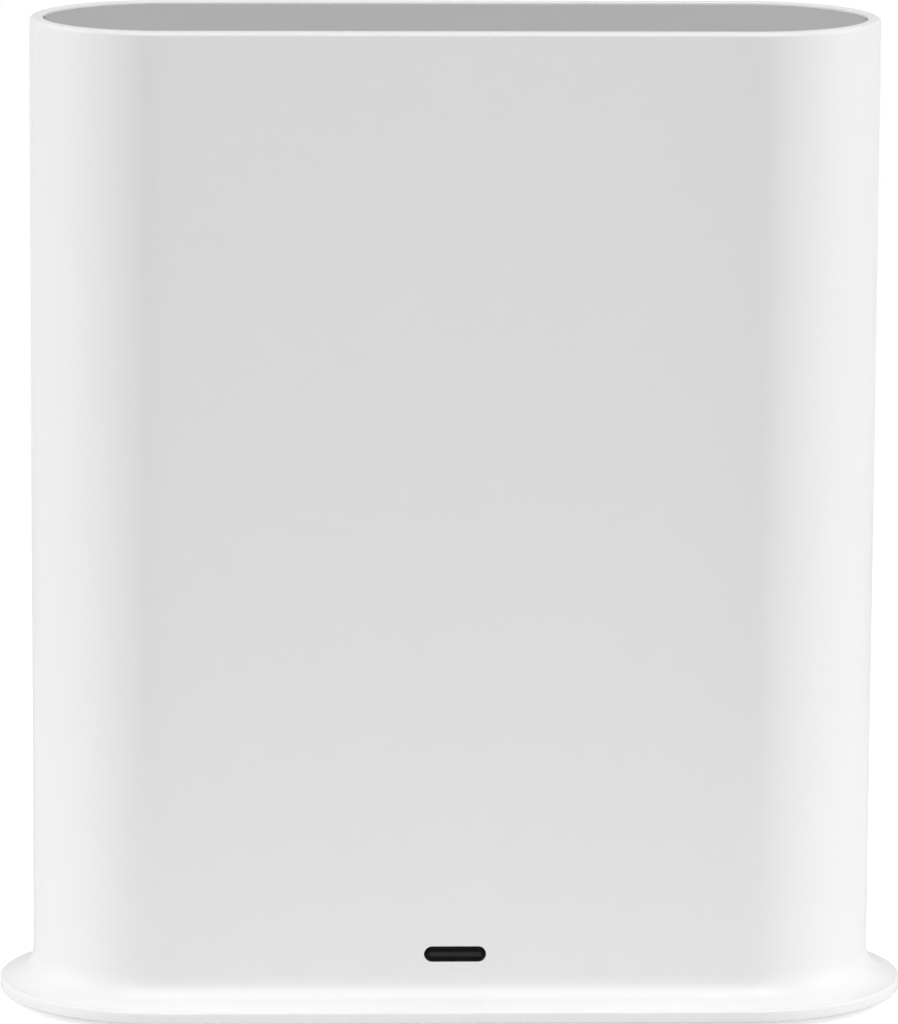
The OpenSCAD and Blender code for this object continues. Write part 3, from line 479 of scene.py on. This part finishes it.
FINISHES = {
    # ABS from a polished mould: a soft sheen with a faint waviness, so that the round ends shade evenly
    "white_shell": moulded(
        "abs_moulded_semi_gloss_white", "#f2f2f2", rough=0.24, grain=0.9 * MM, depth=0.002 * MM, shade=0.01
    ),
    # ABS from a spark-eroded mould: fine matte grain that takes the shine off the plate
    "grey_plate": moulded(
        "abs_moulded_matte_grey", "#afafaf", rough=0.75, grain=0.25 * MM, depth=0.012 * MM,
        Specular_IOR_Level=0.15,
    ),
    # ABS from a coarser spark-eroded mould: an even, dull underside
    "white_cover": moulded(
        "abs_spark_textured_white", "#e8e8e8", rough=0.62, grain=0.35 * MM, depth=0.02 * MM
    ),
    # Silicone rubber, compression moulded: dull, soft and slightly dusty
    "pad_rubber": moulded(
        "silicone_rubber_moulded_grey", "#58595b", rough=0.78, grain=0.5 * MM, depth=0.02 * MM, shade=0.12
    ),
    "window_black": smoked_window(),
    # Acrylic, injection moulded and polished: clear, so that it takes the colour of what is round it
    "clear_acrylic": moulded(
        "acrylic_polished_clear", "#eef4f6", rough=0.12, grain=2 * MM, depth=0.001 * MM,
        Transmission_Weight=0.9, IOR=1.49,
    ),
    # Epoxy filled with phosphor, cast over the chip: waxy yellow
    "led_resin": moulded(
        "epoxy_phosphor_cast_yellow", "#ecd98a", rough=0.35, grain=0.2 * MM, depth=0.004 * MM
    ),
    # ABS from the same matte mould as the plate, a shade darker
    "grey_panel": moulded(
        "abs_moulded_matte_mid_grey", "#8f9193", rough=0.62, grain=0.25 * MM, depth=0.012 * MM,
        Specular_IOR_Level=0.3,
    ),
    # ABS from a satin mould: a little duller than the shell round it
    "white_button": moulded(
        "abs_moulded_satin_white", "#efefef", rough=0.4, grain=0.5 * MM, depth=0.004 * MM, shade=0.01
    ),
    # Nylon, injection moulded: dark and slightly waxy
    "switch_plastic": moulded(
        "nylon_moulded_black", "#2b2b2d", rough=0.5, grain=0.3 * MM, depth=0.01 * MM
    ),
    # The same nylon left undyed: ivory
    "switch_post": moulded("nylon_moulded_ivory", "#cfcec8", rough=0.5, grain=0.3 * MM, depth=0.01 * MM),
    # Polyester with glass fibre: black with a dry, faintly streaked face
    "socket_plastic": moulded(
        "pbt_glass_filled_black", "#1b1b1d", rough=0.5, grain=0.2 * MM, depth=0.012 * MM, shade=0.2
    ),
    # Steel strip, tin plated and drawn: pale metal with soft lines along the draw
    "tinned_steel": metal("steel_tinned_satin", "#cfd1d3", rough=0.3, line=0.25 * MM, along=(1, 0.12, 1)),
    # Phosphor bronze with a gold flash: warm and bright
    "gold_contact": metal("bronze_gold_flashed", "#e3b755", rough=0.24, line=0.15 * MM, along=(1, 0.15, 1)),
    # Tinted polycarbonate lens: milky green, lit from within when in use
    "link_lens": moulded(
        "polycarbonate_tinted_lens", "#b9d6a2", rough=0.3, grain=0.4 * MM, depth=0.003 * MM
    ),
    # Liquid-crystal polymer, moulded: chalky white tongue
    "tongue_plastic": moulded("lcp_moulded_white", "#ecebe4", rough=0.5, grain=0.2 * MM, depth=0.008 * MM),
    # Brass with nickel plate, turned: bright and even
    "nickel_contact": metal("brass_nickel_plated", "#d6d5d2", rough=0.2, line=0.2 * MM, along=(1, 0.3, 1)),
    "board_laminate": resist_board(),
    # Polycarbonate blend, moulded: dark grey frame with a fine grain
    "frame_plastic": moulded(
        "pc_abs_moulded_charcoal", "#3a3b3d", rough=0.55, grain=0.3 * MM, depth=0.012 * MM
    ),
    # Epoxy transfer-moulded over a chip: dull black with a sandy grain
    "chip_resin": moulded(
        "epoxy_transfer_moulded_black", "#222325", rough=0.55, grain=0.15 * MM, depth=0.01 * MM, shade=0.2
    ),
    # Filled silicone sheet: soft blue-grey, faintly speckled
    "thermal_silicone": moulded(
        "silicone_gap_sheet_blue_grey", "#8fa6b8", rough=0.7, grain=0.4 * MM, depth=0.02 * MM, shade=0.1
    ),
    # Aluminium, extruded: lines run along the fins
    "sink_aluminium": metal("aluminium_extruded", "#c9cbcd", rough=0.38, line=0.3 * MM, along=(1, 1, 0.08)),
    # Brass, turned on a lathe: warm, with a fine even grain
    "spacer_brass": metal("brass_turned", "#cda455", rough=0.3, line=0.2 * MM),
    # Steel, cold headed and zinc plated: cool grey, faintly mottled
    "screw_steel": metal("steel_zinc_plated", "#b9bbbe", rough=0.34, line=0.25 * MM),
    # Aluminium can, deep drawn: lines along its side
    "can_aluminium": metal("aluminium_drawn_can", "#c3c6c9", rough=0.34, line=0.25 * MM, along=(1, 0.1, 1)),
    # Ferrite, pressed and sintered: dark and dry
    "choke_ferrite": moulded(
        "ferrite_sintered_dark", "#3b3c3e", rough=0.68, grain=0.2 * MM, depth=0.02 * MM, shade=0.15
    ),
    # Fluoropolymer jacket, extruded: smooth, thin and black
    "lead_jacket": moulded("fep_extruded_black", "#232325", rough=0.4, grain=0.4 * MM, depth=0.006 * MM),
}

for row in frame["record"]["subparts"]:
    materials = frame["nodes"][row["node"]].data.materials
    materials.clear()
    materials.append(FINISHES[row["material_slot"]])


# Outer sleeve


def body_outline(radius=BODY_R):
    """Outline with round ends, as far outside the body's middle line as the radius."""
    steps = 36
    return outline(2 * (HALF_LEN + radius), 2 * radius, radius, steps)


def hole(width, height, radius, facing, x, z, edge, steps=12):
    """Lining of a hole through the flat wall, its outer edge rounded with a flat strip around it, and its
    loops on the two faces."""
    face_y = -BODY_R if facing == "front" else BODY_R
    profile = softened([(edge + STRIP, 0, 0), (0, 0, edge), (0, -WALL, 0)], False)
    lining = tube(outline(width, height, radius, steps), profile, facing, (x, face_y, z))
    loops = lining[0].reshape(-1, len(profile), 3)
    return lining, loops[:, 0], loops[:, -1]


def sleeve_holes():
    """Holes of the front and of the rear wall: the status window, the port bay, the button and the air
    slots."""
    window_edge, bay_edge, button_edge, slot_edge = 0.12 * MM, 0.35 * MM, 0.3 * MM, 0.3 * MM
    button_steps, slot_steps = 24, 8
    window_w, window_h = WINDOW_W + 2 * FIT, WINDOW_H + 2 * FIT
    bay_w = PANEL_HI.x - PANEL_LO.x - 2 * PANEL_LIP
    bay_h = PANEL_HI.z - PANEL_LO.z - 2 * PANEL_LIP
    button_r = BUTTON_R + BUTTON_GAP
    front = [hole(window_w, window_h, window_h / 2, "front", 0, WINDOW_Z, window_edge)]
    rear = [
        hole(bay_w, bay_h, BAY_ROUND, "rear", 0, BAY_Z, bay_edge),
        hole(2 * button_r, 2 * button_r, button_r, "rear", 0, BUTTON_Z, button_edge, button_steps),
    ]
    for k in range(SLOT_COUNT):
        x = (k - (SLOT_COUNT - 1) / 2) * SLOT_PITCH
        rear.append(hole(SLOT_W, SLOT_H, SLOT_W / 2, "rear", x, RIM_Z - SLOT_DROP, slot_edge, slot_steps))
    return {"front": front, "rear": rear}


def boss(x, y, low, top, width, bore, bore_top):
    """Round post standing on its open end, with a blind bore for a screw: a stepped line turned about its
    axis."""
    radius = width / 2
    axis = POLE - radius
    bore_side = bore / 2 - radius
    profile = np.array([
        (axis, bore_top),
        (bore_side, bore_top),
        (bore_side, low),
        (0, low),
        (0, top),
        (axis, top),
    ])
    return solid(outline(width, width, radius), profile, "up", (x, y, 0))


def upright(x_span, y_span, z_span):
    """Square-edged rib: a rectangle carried along X."""
    (y0, y1), (z0, z1) = y_span, z_span
    return prism([(y0, z0), (y1, z0), (y1, z1), (y0, z1)], sorted(x_span))


def heat_stake(x, z):
    """Pin behind the rear wall that holds the port panel, rounded at its end."""
    width, edge, past = 1.6 * MM, 0.2 * MM, 0.4 * MM
    steps = 6
    length = PANEL_HI.y - PANEL_LO.y + past
    profile = softened([(-STRIP, 0, 0), (0, 0, edge), (0, length, 0), (-STRIP, length, 0)], False)
    return solid(outline(width, width, width / 2, steps), profile, "rear", (x, PANEL_LO.y - past, z))


def inner_features():
    """What the sleeve carries inside: two screw bosses with a rib each, two guide ribs and four heat
    stakes."""
    boss_x, boss_y = SLEEVE_SCREW
    boss_d, boss_top = 7 * MM, 14.2 * MM
    pilot_d, pilot_top = 3 * MM, 10.4 * MM
    web_t, web_low, web_end = 1.6 * MM, 5.6 * MM, 53.6 * MM
    guide_x, guide_t = 38.4 * MM, 1.4 * MM
    guide_y = (-BODY_R + WALL / 2, -6.12 * MM)
    guide_z = (19.6 * MM, 105.65 * MM)
    stake_x = PANEL_HI.x - PANEL_LIP / 2
    stake_z = 6.6 * MM
    web_y = (boss_y - web_t / 2, boss_y + web_t / 2)
    surfaces = []
    for side in (-1, 1):
        surfaces.append(boss(side * boss_x, boss_y, COVER_TOP, boss_top, boss_d, pilot_d, pilot_top))
        surfaces.append(upright((side * (boss_x + boss_d / 4), side * web_end), web_y, (web_low, boss_top)))
        surfaces.append(upright((side * guide_x, side * (guide_x + guide_t)), guide_y, guide_z))
        for up in (-1, 1):
            surfaces.append(heat_stake(side * stake_x, BAY_Z + up * stake_z))
    return surfaces


def outer_sleeve():
    """The wall's section carried round the body; the four long flats are laid again with their holes."""
    seat_edge, rim_inner_edge, ledge_edge = 0.15 * MM, 0.2 * MM, 0.1 * MM
    wall_low = FOOT_TOP + FOOT_FILLET + STRIP
    wall_high = RIM_Z - RIM_ROUND - STRIP
    section = softened([
        (-WALL + COVER_SEAT, FOOT_Z, seat_edge),
        (FOOT_FLARE, FOOT_Z, FOOT_ROUND),
        (FOOT_FLARE, FOOT_TOP, FOOT_ROUND),
        (0, FOOT_TOP, FOOT_FILLET),
        (0, wall_low, 0),
        (0, wall_high, 0),
        (0, RIM_Z, RIM_ROUND),
        (-RIM_W, RIM_Z, rim_inner_edge),
        (-RIM_W, LEDGE_Z, 0),
        (-RIM_W - LEDGE_W, LEDGE_Z, ledge_edge),
        (-RIM_W - LEDGE_W, LEDGE_Z - LEDGE_T, ledge_edge),
        (-WALL, LEDGE_Z - LEDGE_T, 0),
        (-WALL, wall_high - LEDGE_T - PLATE_T - STRIP, 0),
        (-WALL, COVER_TOP + STRIP, 0),
        (-WALL, COVER_TOP, 0),
        (-WALL + COVER_SEAT, COVER_TOP, 0),
    ], True)
    stations = body_outline()
    points = carried(stations, section)
    rows, columns = points.shape[:2]
    run = np.linalg.norm(np.roll(stations[0], -1, 0) - stations[0], axis=1)
    rise = np.linalg.norm(np.roll(section, -1, 0) - section, axis=1)
    flats = [(i, j) for i in np.nonzero(run > HALF_LEN)[0] for j in np.nonzero(rise > RIM_Z / 2)[0]]
    surfaces = [(points.reshape(-1, 3), grid_faces(rows, columns, True, True, flats))]
    holes = sleeve_holes()
    for i, j in flats:
        after = (i + 1) % rows
        edge = np.array([points[i, j], points[after, j], points[after, j + 1], points[i, j + 1]])
        side = "front" if edge[0, 1] < 0 else "rear"
        outside = abs(edge[0, 1]) > BODY_R - WALL / 2
        loops = [outer if outside else inner for _, outer, inner in holes[side]]
        surfaces.append(pierced(edge, loops))
    surfaces += [lining for side in holes.values() for lining, _, _ in side]
    surfaces += inner_features()
    return joined("outer_sleeve_skin", surfaces)


# Top plate


def snap_arms():
    """Six hooked arms below the plate: a bent section carried along X, in mirrored pairs."""
    arm_w, arm_t, hook, hook_h, hook_edge = 8 * MM, 1.2 * MM, 0.6 * MM, 1.6 * MM, 0.4 * MM
    pitch = 26 * MM
    face = BODY_R - RIM_W - LEDGE_W - FIT
    hook_top = LEDGE_Z - LEDGE_T - FIT
    tip = hook_top - hook_h
    section = np.array([
        (face - arm_t, LEDGE_Z),
        (face, LEDGE_Z),
        (face, hook_top),
        (face + hook, hook_top),
        (face + hook, hook_top - hook_edge),
        (face, tip),
        (face - arm_t, tip),
    ])
    return [
        prism(section * (side, 1), (k * pitch - arm_w / 2, k * pitch + arm_w / 2))
        for side in (-1, 1) for k in (-1, 0, 1)
    ]


def top_plate():
    """Round-ended plate: a profile with an eased upper edge carried round the body, and its snap arms."""
    upper_edge, lower_edge = 0.2 * MM, 0.1 * MM
    profile = softened([
        (-2 * STRIP, PLATE_HI.z, 0),
        (0, PLATE_HI.z, upper_edge),
        (0, LEDGE_Z, lower_edge),
        (-2 * STRIP, LEDGE_Z, 0),
    ], False)
    return joined("top_plate_skin", [solid(body_outline(PLATE_HI.y), profile), *snap_arms()])


# Base cover


def cover_wells(low, top):
    """Holes of the base cover as (outline, profile, place, whether it goes through): each profile starts on
    a flat strip below, turns round an eased edge and runs up."""
    edge, strip = 0.15 * MM, 0.25 * MM
    vent_w, vent_len, vent_y, vent_count, vent_steps = 1.8 * MM, 4.5 * MM, 10.3 * MM, 9, 8
    bore_d, bore_deep, bore_step = 5.9 * MM, 1.4 * MM, 1.25 * MM
    frame_screw = (22 * MM, -5.6 * MM)
    pad_len, pad_w, pad_deep = 16 * MM + 2 * FIT, 5 * MM + 2 * FIT, 0.8 * MM
    pad_x, pad_y = 34 * MM, 11.5 * MM
    recess_w, recess_h, recess_round, recess_deep = 30 * MM, 9 * MM, 1 * MM, 0.2 * MM
    mouth = [(edge + strip, low, 0), (0, low, edge)]
    bore_floor = low + bore_deep
    bore_rest = [(0, bore_floor, 0), (-bore_step, bore_floor, 0), (-bore_step, top, 0)]
    vent = softened([*mouth, (0, top, 0)], False)
    bore = softened([*mouth, *bore_rest], False)
    pocket = softened([*mouth, (0, low + pad_deep, 0), (-STRIP, low + pad_deep, 0)], False)
    recess = softened([*mouth, (0, low + recess_deep, 0), (-STRIP, low + recess_deep, 0)], False)
    wells = [(outline(recess_w, recess_h, recess_round), recess, (0, 0, 0), False)]
    for side in (-1, 1):
        for k in range(vent_count):
            place = ((k - (vent_count - 1) / 2) * 2 * vent_w, side * vent_y, 0)
            wells.append((outline(vent_w, vent_len, vent_w / 2, vent_steps), vent, place, True))
        for x, y in (SLEEVE_SCREW, frame_screw):
            wells.append((outline(bore_d, bore_d, bore_d / 2), bore, (side * x, y, 0), True))
        for end in (-1, 1):
            place = (side * pad_x, end * pad_y, 0)
            wells.append((outline(pad_len, pad_w, pad_w / 2), pocket, place, False))
    return wells


def base_cover():
    """A stepped edge with a skirt, carried round the body; the flats below and above are laid with their
    holes."""
    lower_edge, upper_edge, skirt_edge = 0.2 * MM, 0.1 * MM, 0.15 * MM
    low, top = COVER_LO.z, COVER_TOP
    radius = COVER_HI.y
    skirt_t = 1.2 * MM
    skirt = BODY_R - WALL - FIT - radius
    section = softened([
        (-2 * STRIP, low, 0),
        (0, low, lower_edge),
        (0, top, upper_edge),
        (skirt, top, 0),
        (skirt, COVER_HI.z, skirt_edge),
        (skirt - skirt_t, COVER_HI.z, skirt_edge),
        (skirt - skirt_t, top, 0),
        (skirt - skirt_t - STRIP, top, 0),
    ], False)
    edge = tube(body_outline(radius), section)
    edge_loops = edge[0].reshape(-1, len(section), 3)
    surfaces, below, above = [edge], [], []
    for stations, profile, place, through in cover_wells(low, top):
        lining = tube(stations, profile, "up", place) if through else sunk(stations, profile, place)
        loops = lining[0].reshape(-1, len(profile), 3)
        surfaces.append(lining)
        below.append(loops[:, 0])
        if through:
            above.append(loops[:, -1])
    surfaces.append(pierced(edge_loops[:, 0], below))
    surfaces.append(pierced(edge_loops[:, -1], above))
    return joined("base_cover_plate", surfaces)


# What shows in the wall's holes


def status_window():
    """Pill-shaped window: a profile with an eased rim and the lip that holds it behind the wall, carried
    round a pill."""
    rim_edge, lip_edge = 0.2 * MM, 0.1 * MM
    back = WINDOW_LO.y - WINDOW_HI.y
    profile = softened([
        (-2 * STRIP, 0, 0),
        (0, 0, rim_edge),
        (0, -WALL, 0),
        (WINDOW_LIP, -WALL, lip_edge),
        (WINDOW_LIP, back, lip_edge),
        (-2 * STRIP, back, 0),
    ], False)
    pill = outline(WINDOW_W, WINDOW_H, WINDOW_H / 2)
    return joined("status_window_lens", [solid(pill, profile, "front", (0, WINDOW_LO.y, WINDOW_Z))])


def sync_button():
    """Round button: a cosine dish in its face, its rim, its flange and its stem, as one line turned about
    its axis."""
    proud, behind_wall = 0.5 * MM, 0.1 * MM
    flange_t, stem_r = 1 * MM, 2.2 * MM
    dish_deep, rim_edge, flange_edge = 0.18 * MM, 0.4 * MM, 0.1 * MM
    dish_start, dish_end, dish_points = 0.02 * BUTTON_R, 0.86 * BUTTON_R, 12
    steps = 24
    dish_r = np.linspace(dish_start, dish_end, dish_points)
    dish = np.stack([dish_r - BUTTON_R, -dish_deep * (1 + np.cos(math.pi * dish_r / dish_end)) / 2], -1)
    flange = -(proud + WALL + behind_wall)
    stem = stem_r - BUTTON_R
    rest = softened([
        (dish_end - BUTTON_R, 0, 0),
        (0, 0, rim_edge),
        (0, flange, 0),
        (BUTTON_FLANGE, flange, flange_edge),
        (BUTTON_FLANGE, flange - flange_t, flange_edge),
        (stem, flange - flange_t, 0),
        (stem, BUTTON_LO.y - BUTTON_HI.y, 0),
    ], False)
    stations = outline(2 * BUTTON_R, 2 * BUTTON_R, BUTTON_R, steps)
    line = np.vstack([dish, rest[1:]])
    return joined("sync_button_cap", [solid(stations, line, "rear", (0, BUTTON_HI.y, BUTTON_Z))])


def usb_springs(middle, half_h):
    """Four springs in a shell, each a thin strip bowed inwards by a squared sine and carried along X."""
    spring_x, spring_w, spring_t = 2.9 * MM, 2.2 * MM, 0.2 * MM
    spring_in, spring_len, bow, points = 1.4 * MM, 6.5 * MM, 0.6 * MM, 17
    along = np.linspace(0, 1, points)
    deep = USB_HI.y - spring_in - spring_len * along
    rise = half_h - bow * np.sin(math.pi * along) ** 2
    springs = []
    for up in (-1, 1):
        inner = np.stack([deep, middle[2] + up * rise], -1)
        outer = np.stack([deep, middle[2] + up * (rise + spring_t)], -1)
        bowed = np.vstack([inner, outer[::-1]])
        for side in (-1, 1):
            x = middle[0] + side * spring_x
            springs.append(prism(bowed, (x - spring_w / 2, x + spring_w / 2)))
    return springs


def usb_shell():
    """Stamped shell: a thin section with eased edges carried round the mouth, and its springs."""
    skin, corner, edge = 0.3 * MM, 0.7 * MM, 0.08 * MM
    steps = 6
    width, depth, height = USB_HI - USB_LO
    middle = ((USB_LO.x + USB_HI.x) / 2, USB_HI.y, (USB_LO.z + USB_HI.z) / 2)
    section = softened([
        (0, 0, edge),
        (0, -depth, edge),
        (-skin, -depth, edge),
        (-skin, 0, edge),
    ], True)
    shell = looped(outline(width, height, corner, steps), section, "rear", middle)
    return joined("usb_shell_stamped", [shell, *usb_springs(middle, height / 2 - skin)])


dressed(outer_sleeve(), "white_shell", BODY, "outer_sleeve")
dressed(top_plate(), "grey_plate", BODY, "top_plate")
dressed(base_cover(), "white_cover", BODY, "base_cover")
dressed(status_window(), "window_black", BODY, "status_window")
dressed(sync_button(), "white_button", "sync_button", "sync_button")
dressed(usb_shell(), "tinned_steel", BODY, "usb_shell")

# Width of the rounding on the sharp edges of the plainer pieces
EASED = {
    "rubber_feet": 0.3 * MM,
    "port_panel": 0.2 * MM,
    "network_shield": 0.08 * MM,
    "network_housing": 0.12 * MM,
    "network_lights": 0.12 * MM,
    "usb_insert": 0.15 * MM,
    "power_housing": 0.2 * MM,
    "sync_switch_body": 0.15 * MM,
    "reset_switch_body": 0.15 * MM,
    "heat_sink": 0.15 * MM,
    "processor": 0.1 * MM,
    "memory_chips": 0.1 * MM,
    "radio_shields": 0.12 * MM,
    "network_transformer": 0.25 * MM,
    "bulk_capacitors": 0.5 * MM,
    "power_inductors": 0.4 * MM,
}
for row in frame["record"]["subparts"]:
    node = row["node"]
    if node in EASED:
        dressed(eased_copy(node, EASED[node]), row["material_slot"], BODY, node)


# Stage and light

# The white surroundings show darker in a reflection than to the eye, so that the round ends keep their edge
IN_REFLECTION = 0.75
# Even light from all round
AMBIENT = 0.167
# Softboxes: width, height, place, the point they face, watts
SOFTBOXES = {
    "overhead_softbox": (1.6, 1.3, (0, -0.85, 1.36), (0, 0, 0.05), 16.6),
    "left_softbox": (0.5, 0.8, (-0.95, 0, 0.35), (0, 0, 0.065), 5.5),
    "right_softbox": (0.5, 0.8, (0.94, -0.1, 0.35), (0, 0, 0.065), 5.6),
    "rear_softbox": (2.0, 1.2, (0, 1.7, 0.6), (0, 0, 0.065), 11.5),
}
# Only the overhead softbox shows in gloss, as the bright line on the rim and the foot
IN_GLOSS = {"overhead_softbox"}


def seen_directly(tree, in_reflection):
    """1 on rays from the camera or through something clear, less in a reflection, 0 on rays that light a
    surface."""
    path = add(tree, "ShaderNodeLightPath")
    seen = worked(tree, "MULTIPLY", path.outputs["Is Glossy Ray"], in_reflection)
    for kind in ("Is Camera Ray", "Is Transmission Ray"):
        seen = worked(tree, "MAXIMUM", seen, path.outputs[kind])
    return seen


def sheet(name, corners, finish):
    """Flat four-sided sheet of the stage."""
    mesh = bpy.data.meshes.new(name)
    mesh.from_pydata(corners, [], [(0, 1, 2, 3)])
    mesh.materials.append(finish)
    return put(name, mesh)


def paper_finish():
    """Studio paper: lit, with its shadows, near the object, and plain white to the eye further off."""
    lift = 0.66
    near, far = 0.12, 0.5
    finish = bpy.data.materials.new("studio_paper_white")
    tree = emptied(finish)
    place = add(tree, "ShaderNodeTexCoord").outputs["Object"]
    reach = add(tree, "ShaderNodeVectorMath", {0: place}, operation="LENGTH").outputs["Value"]
    faded = add(
        tree, "ShaderNodeMapRange", {"Value": reach, "From Min": near, "From Max": far},
        interpolation_type="SMOOTHSTEP",
    ).outputs[0]
    tone = mixed(tree, faded, linear("#ececec"), linear("#a0a0a0"))
    paper = add(tree, "ShaderNodeBsdfDiffuse", {"Color": tone})
    lifting = worked(tree, "MULTIPLY", seen_directly(tree, 0.0), lift)
    glow = add(tree, "ShaderNodeEmission", {"Strength": lifting})
    lifted = add(tree, "ShaderNodeAddShader", {0: paper.outputs[0], 1: glow.outputs[0]})
    white = add(tree, "ShaderNodeEmission", {"Strength": 1.0})
    share = worked(tree, "MULTIPLY", seen_directly(tree, IN_REFLECTION), faded)
    both = add(tree, "ShaderNodeMixShader", {0: share, 1: lifted.outputs[0], 2: white.outputs[0]})
    add(tree, "ShaderNodeOutputMaterial", {"Surface": both.outputs[0]})
    return finish


def stage_floor():
    """Wide sheet of paper under the feet."""
    half = 6.0
    corners = [(-half, -half, 0), (half, -half, 0), (half, half, 0), (-half, half, 0)]
    sheet("floor", corners, paper_finish())


def card_finish():
    """Matte black card."""
    finish = bpy.data.materials.new("card_matte_black")
    tree = emptied(finish)
    card = add(tree, "ShaderNodeBsdfDiffuse", {"Color": linear("#101010")})
    add(tree, "ShaderNodeOutputMaterial", {"Surface": card.outputs[0]})
    return finish


def flag(name, side, finish):
    """Black card standing before a round end, seen only in gloss: the darker line where the flat front
    ends."""
    near_x, far_x, y, height = side * 46 * MM, side * 84 * MM, -150 * MM, 140 * MM
    corners = [(near_x, y, 0), (far_x, y, 0), (far_x, y, height), (near_x, y, height)]
    made = sheet(name, corners, finish)
    made.visible_camera = False
    made.visible_diffuse = False
    made.visible_transmission = False
    made.visible_shadow = False


def studio_world():
    """White for what the camera and reflections see, and a weaker even light on surfaces."""
    world = bpy.data.worlds.new("studio")
    bpy.context.scene.world = world
    tree = emptied(world)
    seen = seen_directly(tree, IN_REFLECTION)
    strength = add(tree, "ShaderNodeMapRange", {"Value": seen, "To Min": AMBIENT, "To Max": 1.0})
    sky = add(tree, "ShaderNodeBackground", {"Strength": strength.outputs[0]})
    add(tree, "ShaderNodeOutputWorld", {"Surface": sky.outputs[0]})


def softbox(name, width, height, place, aim, watts):
    """Rectangular soft light that faces a point."""
    lamp = bpy.data.lights.new(name, "AREA")
    lamp.shape = "RECTANGLE"
    lamp.size = width
    lamp.size_y = height
    lamp.energy = watts
    box = put(name, lamp)
    box.location = place
    box.rotation_euler = (Vector(aim) - Vector(place)).to_track_quat("-Z", "Y").to_euler()
    box.visible_camera = False
    box.visible_glossy = name in IN_GLOSS


stage_floor()
black_card = card_finish()
flag("left_flag", -1, black_card)
flag("right_flag", 1, black_card)
studio_world()
for name, values in SOFTBOXES.items():
    softbox(name, *values)


# Camera


def photo_camera():
    """Camera at the photograph's angle: azimuth, elevation and roll about a target on the body's middle
    plane."""
    azimuth, elevation, roll = (math.radians(a) for a in (-2.053, 10.752, 0.336))
    distance = 1011.47 * MM
    target = Vector((-0.515 * MM, 0, 64.45 * MM))
    focal_px, photo_height = 7742.6, 1024
    back = Vector((
        math.sin(azimuth) * math.cos(elevation),
        -math.cos(azimuth) * math.cos(elevation),
        math.sin(elevation),
    ))
    right = Vector((math.cos(azimuth), math.sin(azimuth), 0))
    level = Matrix((right, back.cross(right), back)).transposed().to_quaternion()
    rolled = level @ Matrix.Rotation(roll, 3, "Z").to_quaternion()
    camera = put("camera", bpy.data.cameras.new("camera"))
    camera.data.sensor_width = 36
    camera.data.lens = camera.data.sensor_width * focal_px / photo_height
    camera.data.clip_start = 0.01
    camera.data.clip_end = 50
    camera.matrix_world = Matrix.LocRotScale(target + back * distance, rolled, None)
    bpy.context.scene.camera = camera


photo_camera()
bpy.context.scene.view_settings.view_transform = "Standard"
